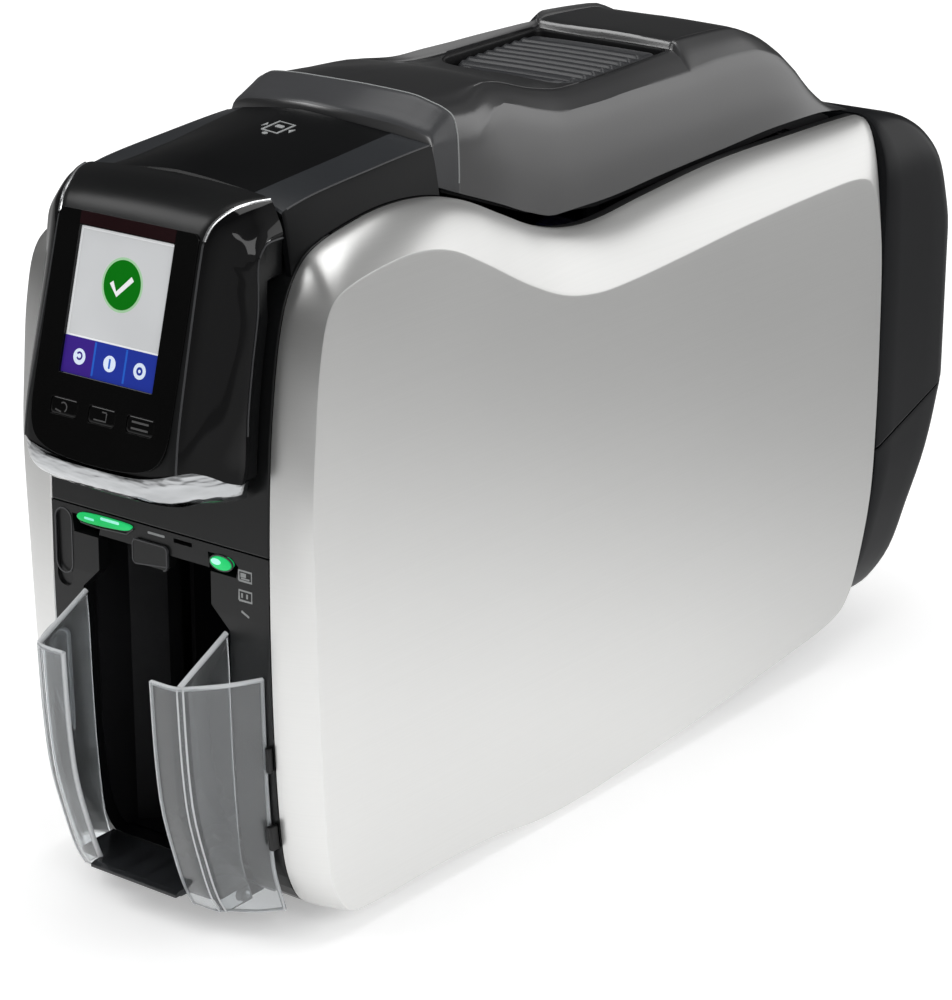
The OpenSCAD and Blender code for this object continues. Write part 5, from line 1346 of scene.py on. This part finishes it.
# Small embossed pictogram on the deck: a card between two triangles, with a dot before it
ICON_X, ICON_Y = 5.5, -147.3
deck_icon = [stroke([(ICON_X - 3.6, ICON_Y - 5), (ICON_X + 3.6, ICON_Y - 5), (ICON_X + 3.6, ICON_Y + 5),
                     (ICON_X - 3.6, ICON_Y + 5), (ICON_X - 3.6, ICON_Y - 5)], 0.9),
             round_rect(3.4, 2.4, 0.6, ICON_X, ICON_Y + 0.8),
             [(ICON_X - 6.6, ICON_Y - 2), (ICON_X - 5.0, ICON_Y), (ICON_X - 6.6, ICON_Y + 2)],
             [(ICON_X + 6.6, ICON_Y + 2), (ICON_X + 5.0, ICON_Y), (ICON_X + 6.6, ICON_Y - 2)],
             disc(1.1, ICON_X, ICON_Y - 7.4, 14)]
flat_mark("deck_icon", deck_icon, -0.3, 0.18, "mark", place=on_deck)


# ---------------------------------------------------------------- light and floor
def maths(t, operation, a, out_a, b, out_b):
    """Node that joins two values."""
    node = t.add("ShaderNodeMath", _operation=operation)
    t.link(a, out_a, node, 0)
    t.link(b, out_b, node, 1)
    return node


def floor_material():
    """Pale floor with a painted pool of light: its base colour is painted darker away from the pool's
    middle, and in gloss it glows near the pool and fades to dark; where it is seen it glows white.
    """
    m, t, s = new_material("floor_white")
    s.inputs["Roughness"].default_value = 0.9
    s.inputs["Specular IOR Level"].default_value = 0.0
    tex = t.add("ShaderNodeTexCoord")
    from_pool = t.add("ShaderNodeVectorMath", _operation="SUBTRACT")
    from_pool.inputs[1].default_value = POOL_CENTRE
    t.link(tex, "Object", from_pool, 0)
    size = t.add("ShaderNodeVectorMath", _operation="LENGTH")
    t.link(from_pool, "Vector", size, 0)
    # Base colour painted darker away from the pool's middle: painted falloff of light.
    tone = tint(t, ramp(t, size, "Value", 0.36, 0.85, 0.0, 1.0), (0.86, 0.86, 0.86), (0.4, 0.4, 0.4))
    t.tree.links.new(tone.outputs[2], s.inputs["Base Color"])
    seen = ramp(t, size, "Value", 0.3, 0.95, FLOOR_SEEN[0], FLOOR_SEEN[1])
    # Glow seen only in gloss, strong near the pool's middle: a painted light pool for the metal to mirror.
    mirrored = ramp(t, size, "Value", 0.25, 0.65, FLOOR_PAINTED_POOL_IN_GLOSS[0], FLOOR_PAINTED_POOL_IN_GLOSS[1])
    path = t.add("ShaderNodeLightPath")
    through = maths(t, "MAXIMUM", path, "Is Camera Ray", path, "Is Transmission Ray")
    direct = maths(t, "MULTIPLY", through, "Value", seen, "Result")
    in_gloss = maths(t, "MULTIPLY", path, "Is Glossy Ray", mirrored, "Result")
    s.inputs["Emission Color"].default_value = (1, 1, 1, 1)
    t.link(maths(t, "MAXIMUM", direct, "Value", in_gloss, "Value"), "Value", s, "Emission Strength")
    return m


def make_floor():
    mesh = bpy.data.meshes.new("floor")
    bm = bmesh.new()
    bmesh.ops.create_grid(bm, x_segments=2, y_segments=2, size=12)
    bm.to_mesh(mesh)
    bm.free()
    floor = bpy.data.objects.new("floor", mesh)
    scene.collection.objects.link(floor)
    mesh.materials.append(floor_material())


def area_light(name, location, target, width, height, power):
    data = bpy.data.lights.new(name, "AREA")
    data.energy = power
    data.shape = "RECTANGLE"
    data.size, data.size_y = width, height
    obj = bpy.data.objects.new(name, data)
    scene.collection.objects.link(obj)
    obj.location = location
    obj.rotation_euler = (Vector(location) - Vector(target)).to_track_quat("Z", "Y").to_euler()


def make_world():
    """White where it is seen; gloss mirrors a dim room that is brighter at two sides."""
    world = bpy.data.worlds.new("studio")
    scene.world = world
    world.use_nodes = True
    t = Nodes(world.node_tree)
    back = world.node_tree.nodes["Background"]
    back.inputs["Color"].default_value = (1, 1, 1, 1)
    tex = t.add("ShaderNodeTexCoord")
    glows = []
    for direction, low, high, strength in (REAR_GLOW, FRONT_GLOW):
        way = t.add("ShaderNodeVectorMath", _operation="DOT_PRODUCT")
        t.link(tex, "Generated", way, 0)
        way.inputs[1].default_value = direction
        glows.append(ramp(t, way, "Value", low, high, 0.03, strength))
    glow = maths(t, "ADD", glows[0], "Result", glows[1], "Result")
    path = t.add("ShaderNodeLightPath")
    seen = maths(t, "MAXIMUM", path, "Is Camera Ray", path, "Is Transmission Ray")
    plain = ramp(t, seen, "Value", 0.0, 1.0, WORLD_PLAIN, 1.0)
    mix = t.add("ShaderNodeMix", _data_type="FLOAT")
    t.tree.links.new(path.outputs["Is Glossy Ray"], mix.inputs[0])
    t.tree.links.new(plain.outputs["Result"], mix.inputs[2])
    t.tree.links.new(glow.outputs[0], mix.inputs[3])
    t.tree.links.new(mix.outputs[0], back.inputs["Strength"])


# Floor: middle of its light pool, then how much it glows where it is seen and where it is mirrored,
# near and far from that middle
POOL_CENTRE = (0.06, -0.22, 0.0)
FLOOR_SEEN = (0.35, 0.92)
# How much the floor glows in gloss, near and far: a painted pool of light.
FLOOR_PAINTED_POOL_IN_GLOSS = (0.45, 0.0)
# Bright sides of the room: direction, where the glow starts and is full, strength
REAR_GLOW = ((0.56, 0.75, 0.35), 0.6, 0.98, 0.35)
FRONT_GLOW = ((0.8, -0.6, 0.0), 0.35, 0.95, 0.3)
WORLD_PLAIN = 0.5
CENTRE, UPPER_PART = (0, 0, 0.15), (0, 0, 0.3)
# Lamps: place and aim (m), width and height (m), power (W)
LAMPS = {
    "key_box": ((-1.3, -1.2, 1.75), CENTRE, 1.2, 1.2, 17),
    "side_box": ((2.0, -1.1, 1.3), CENTRE, 1.2, 1.2, 12),
    "top_box": ((0.1, 0.3, 2.3), CENTRE, 1.4, 1.4, 13),
    "back_box": ((1.05, 1.55, 0.64), UPPER_PART, 1.9, 1.1, 6.8),
}
make_floor()
make_world()
for lamp_name, values in LAMPS.items():
    area_light(lamp_name, *values)

scene.view_settings.view_transform = "Standard"
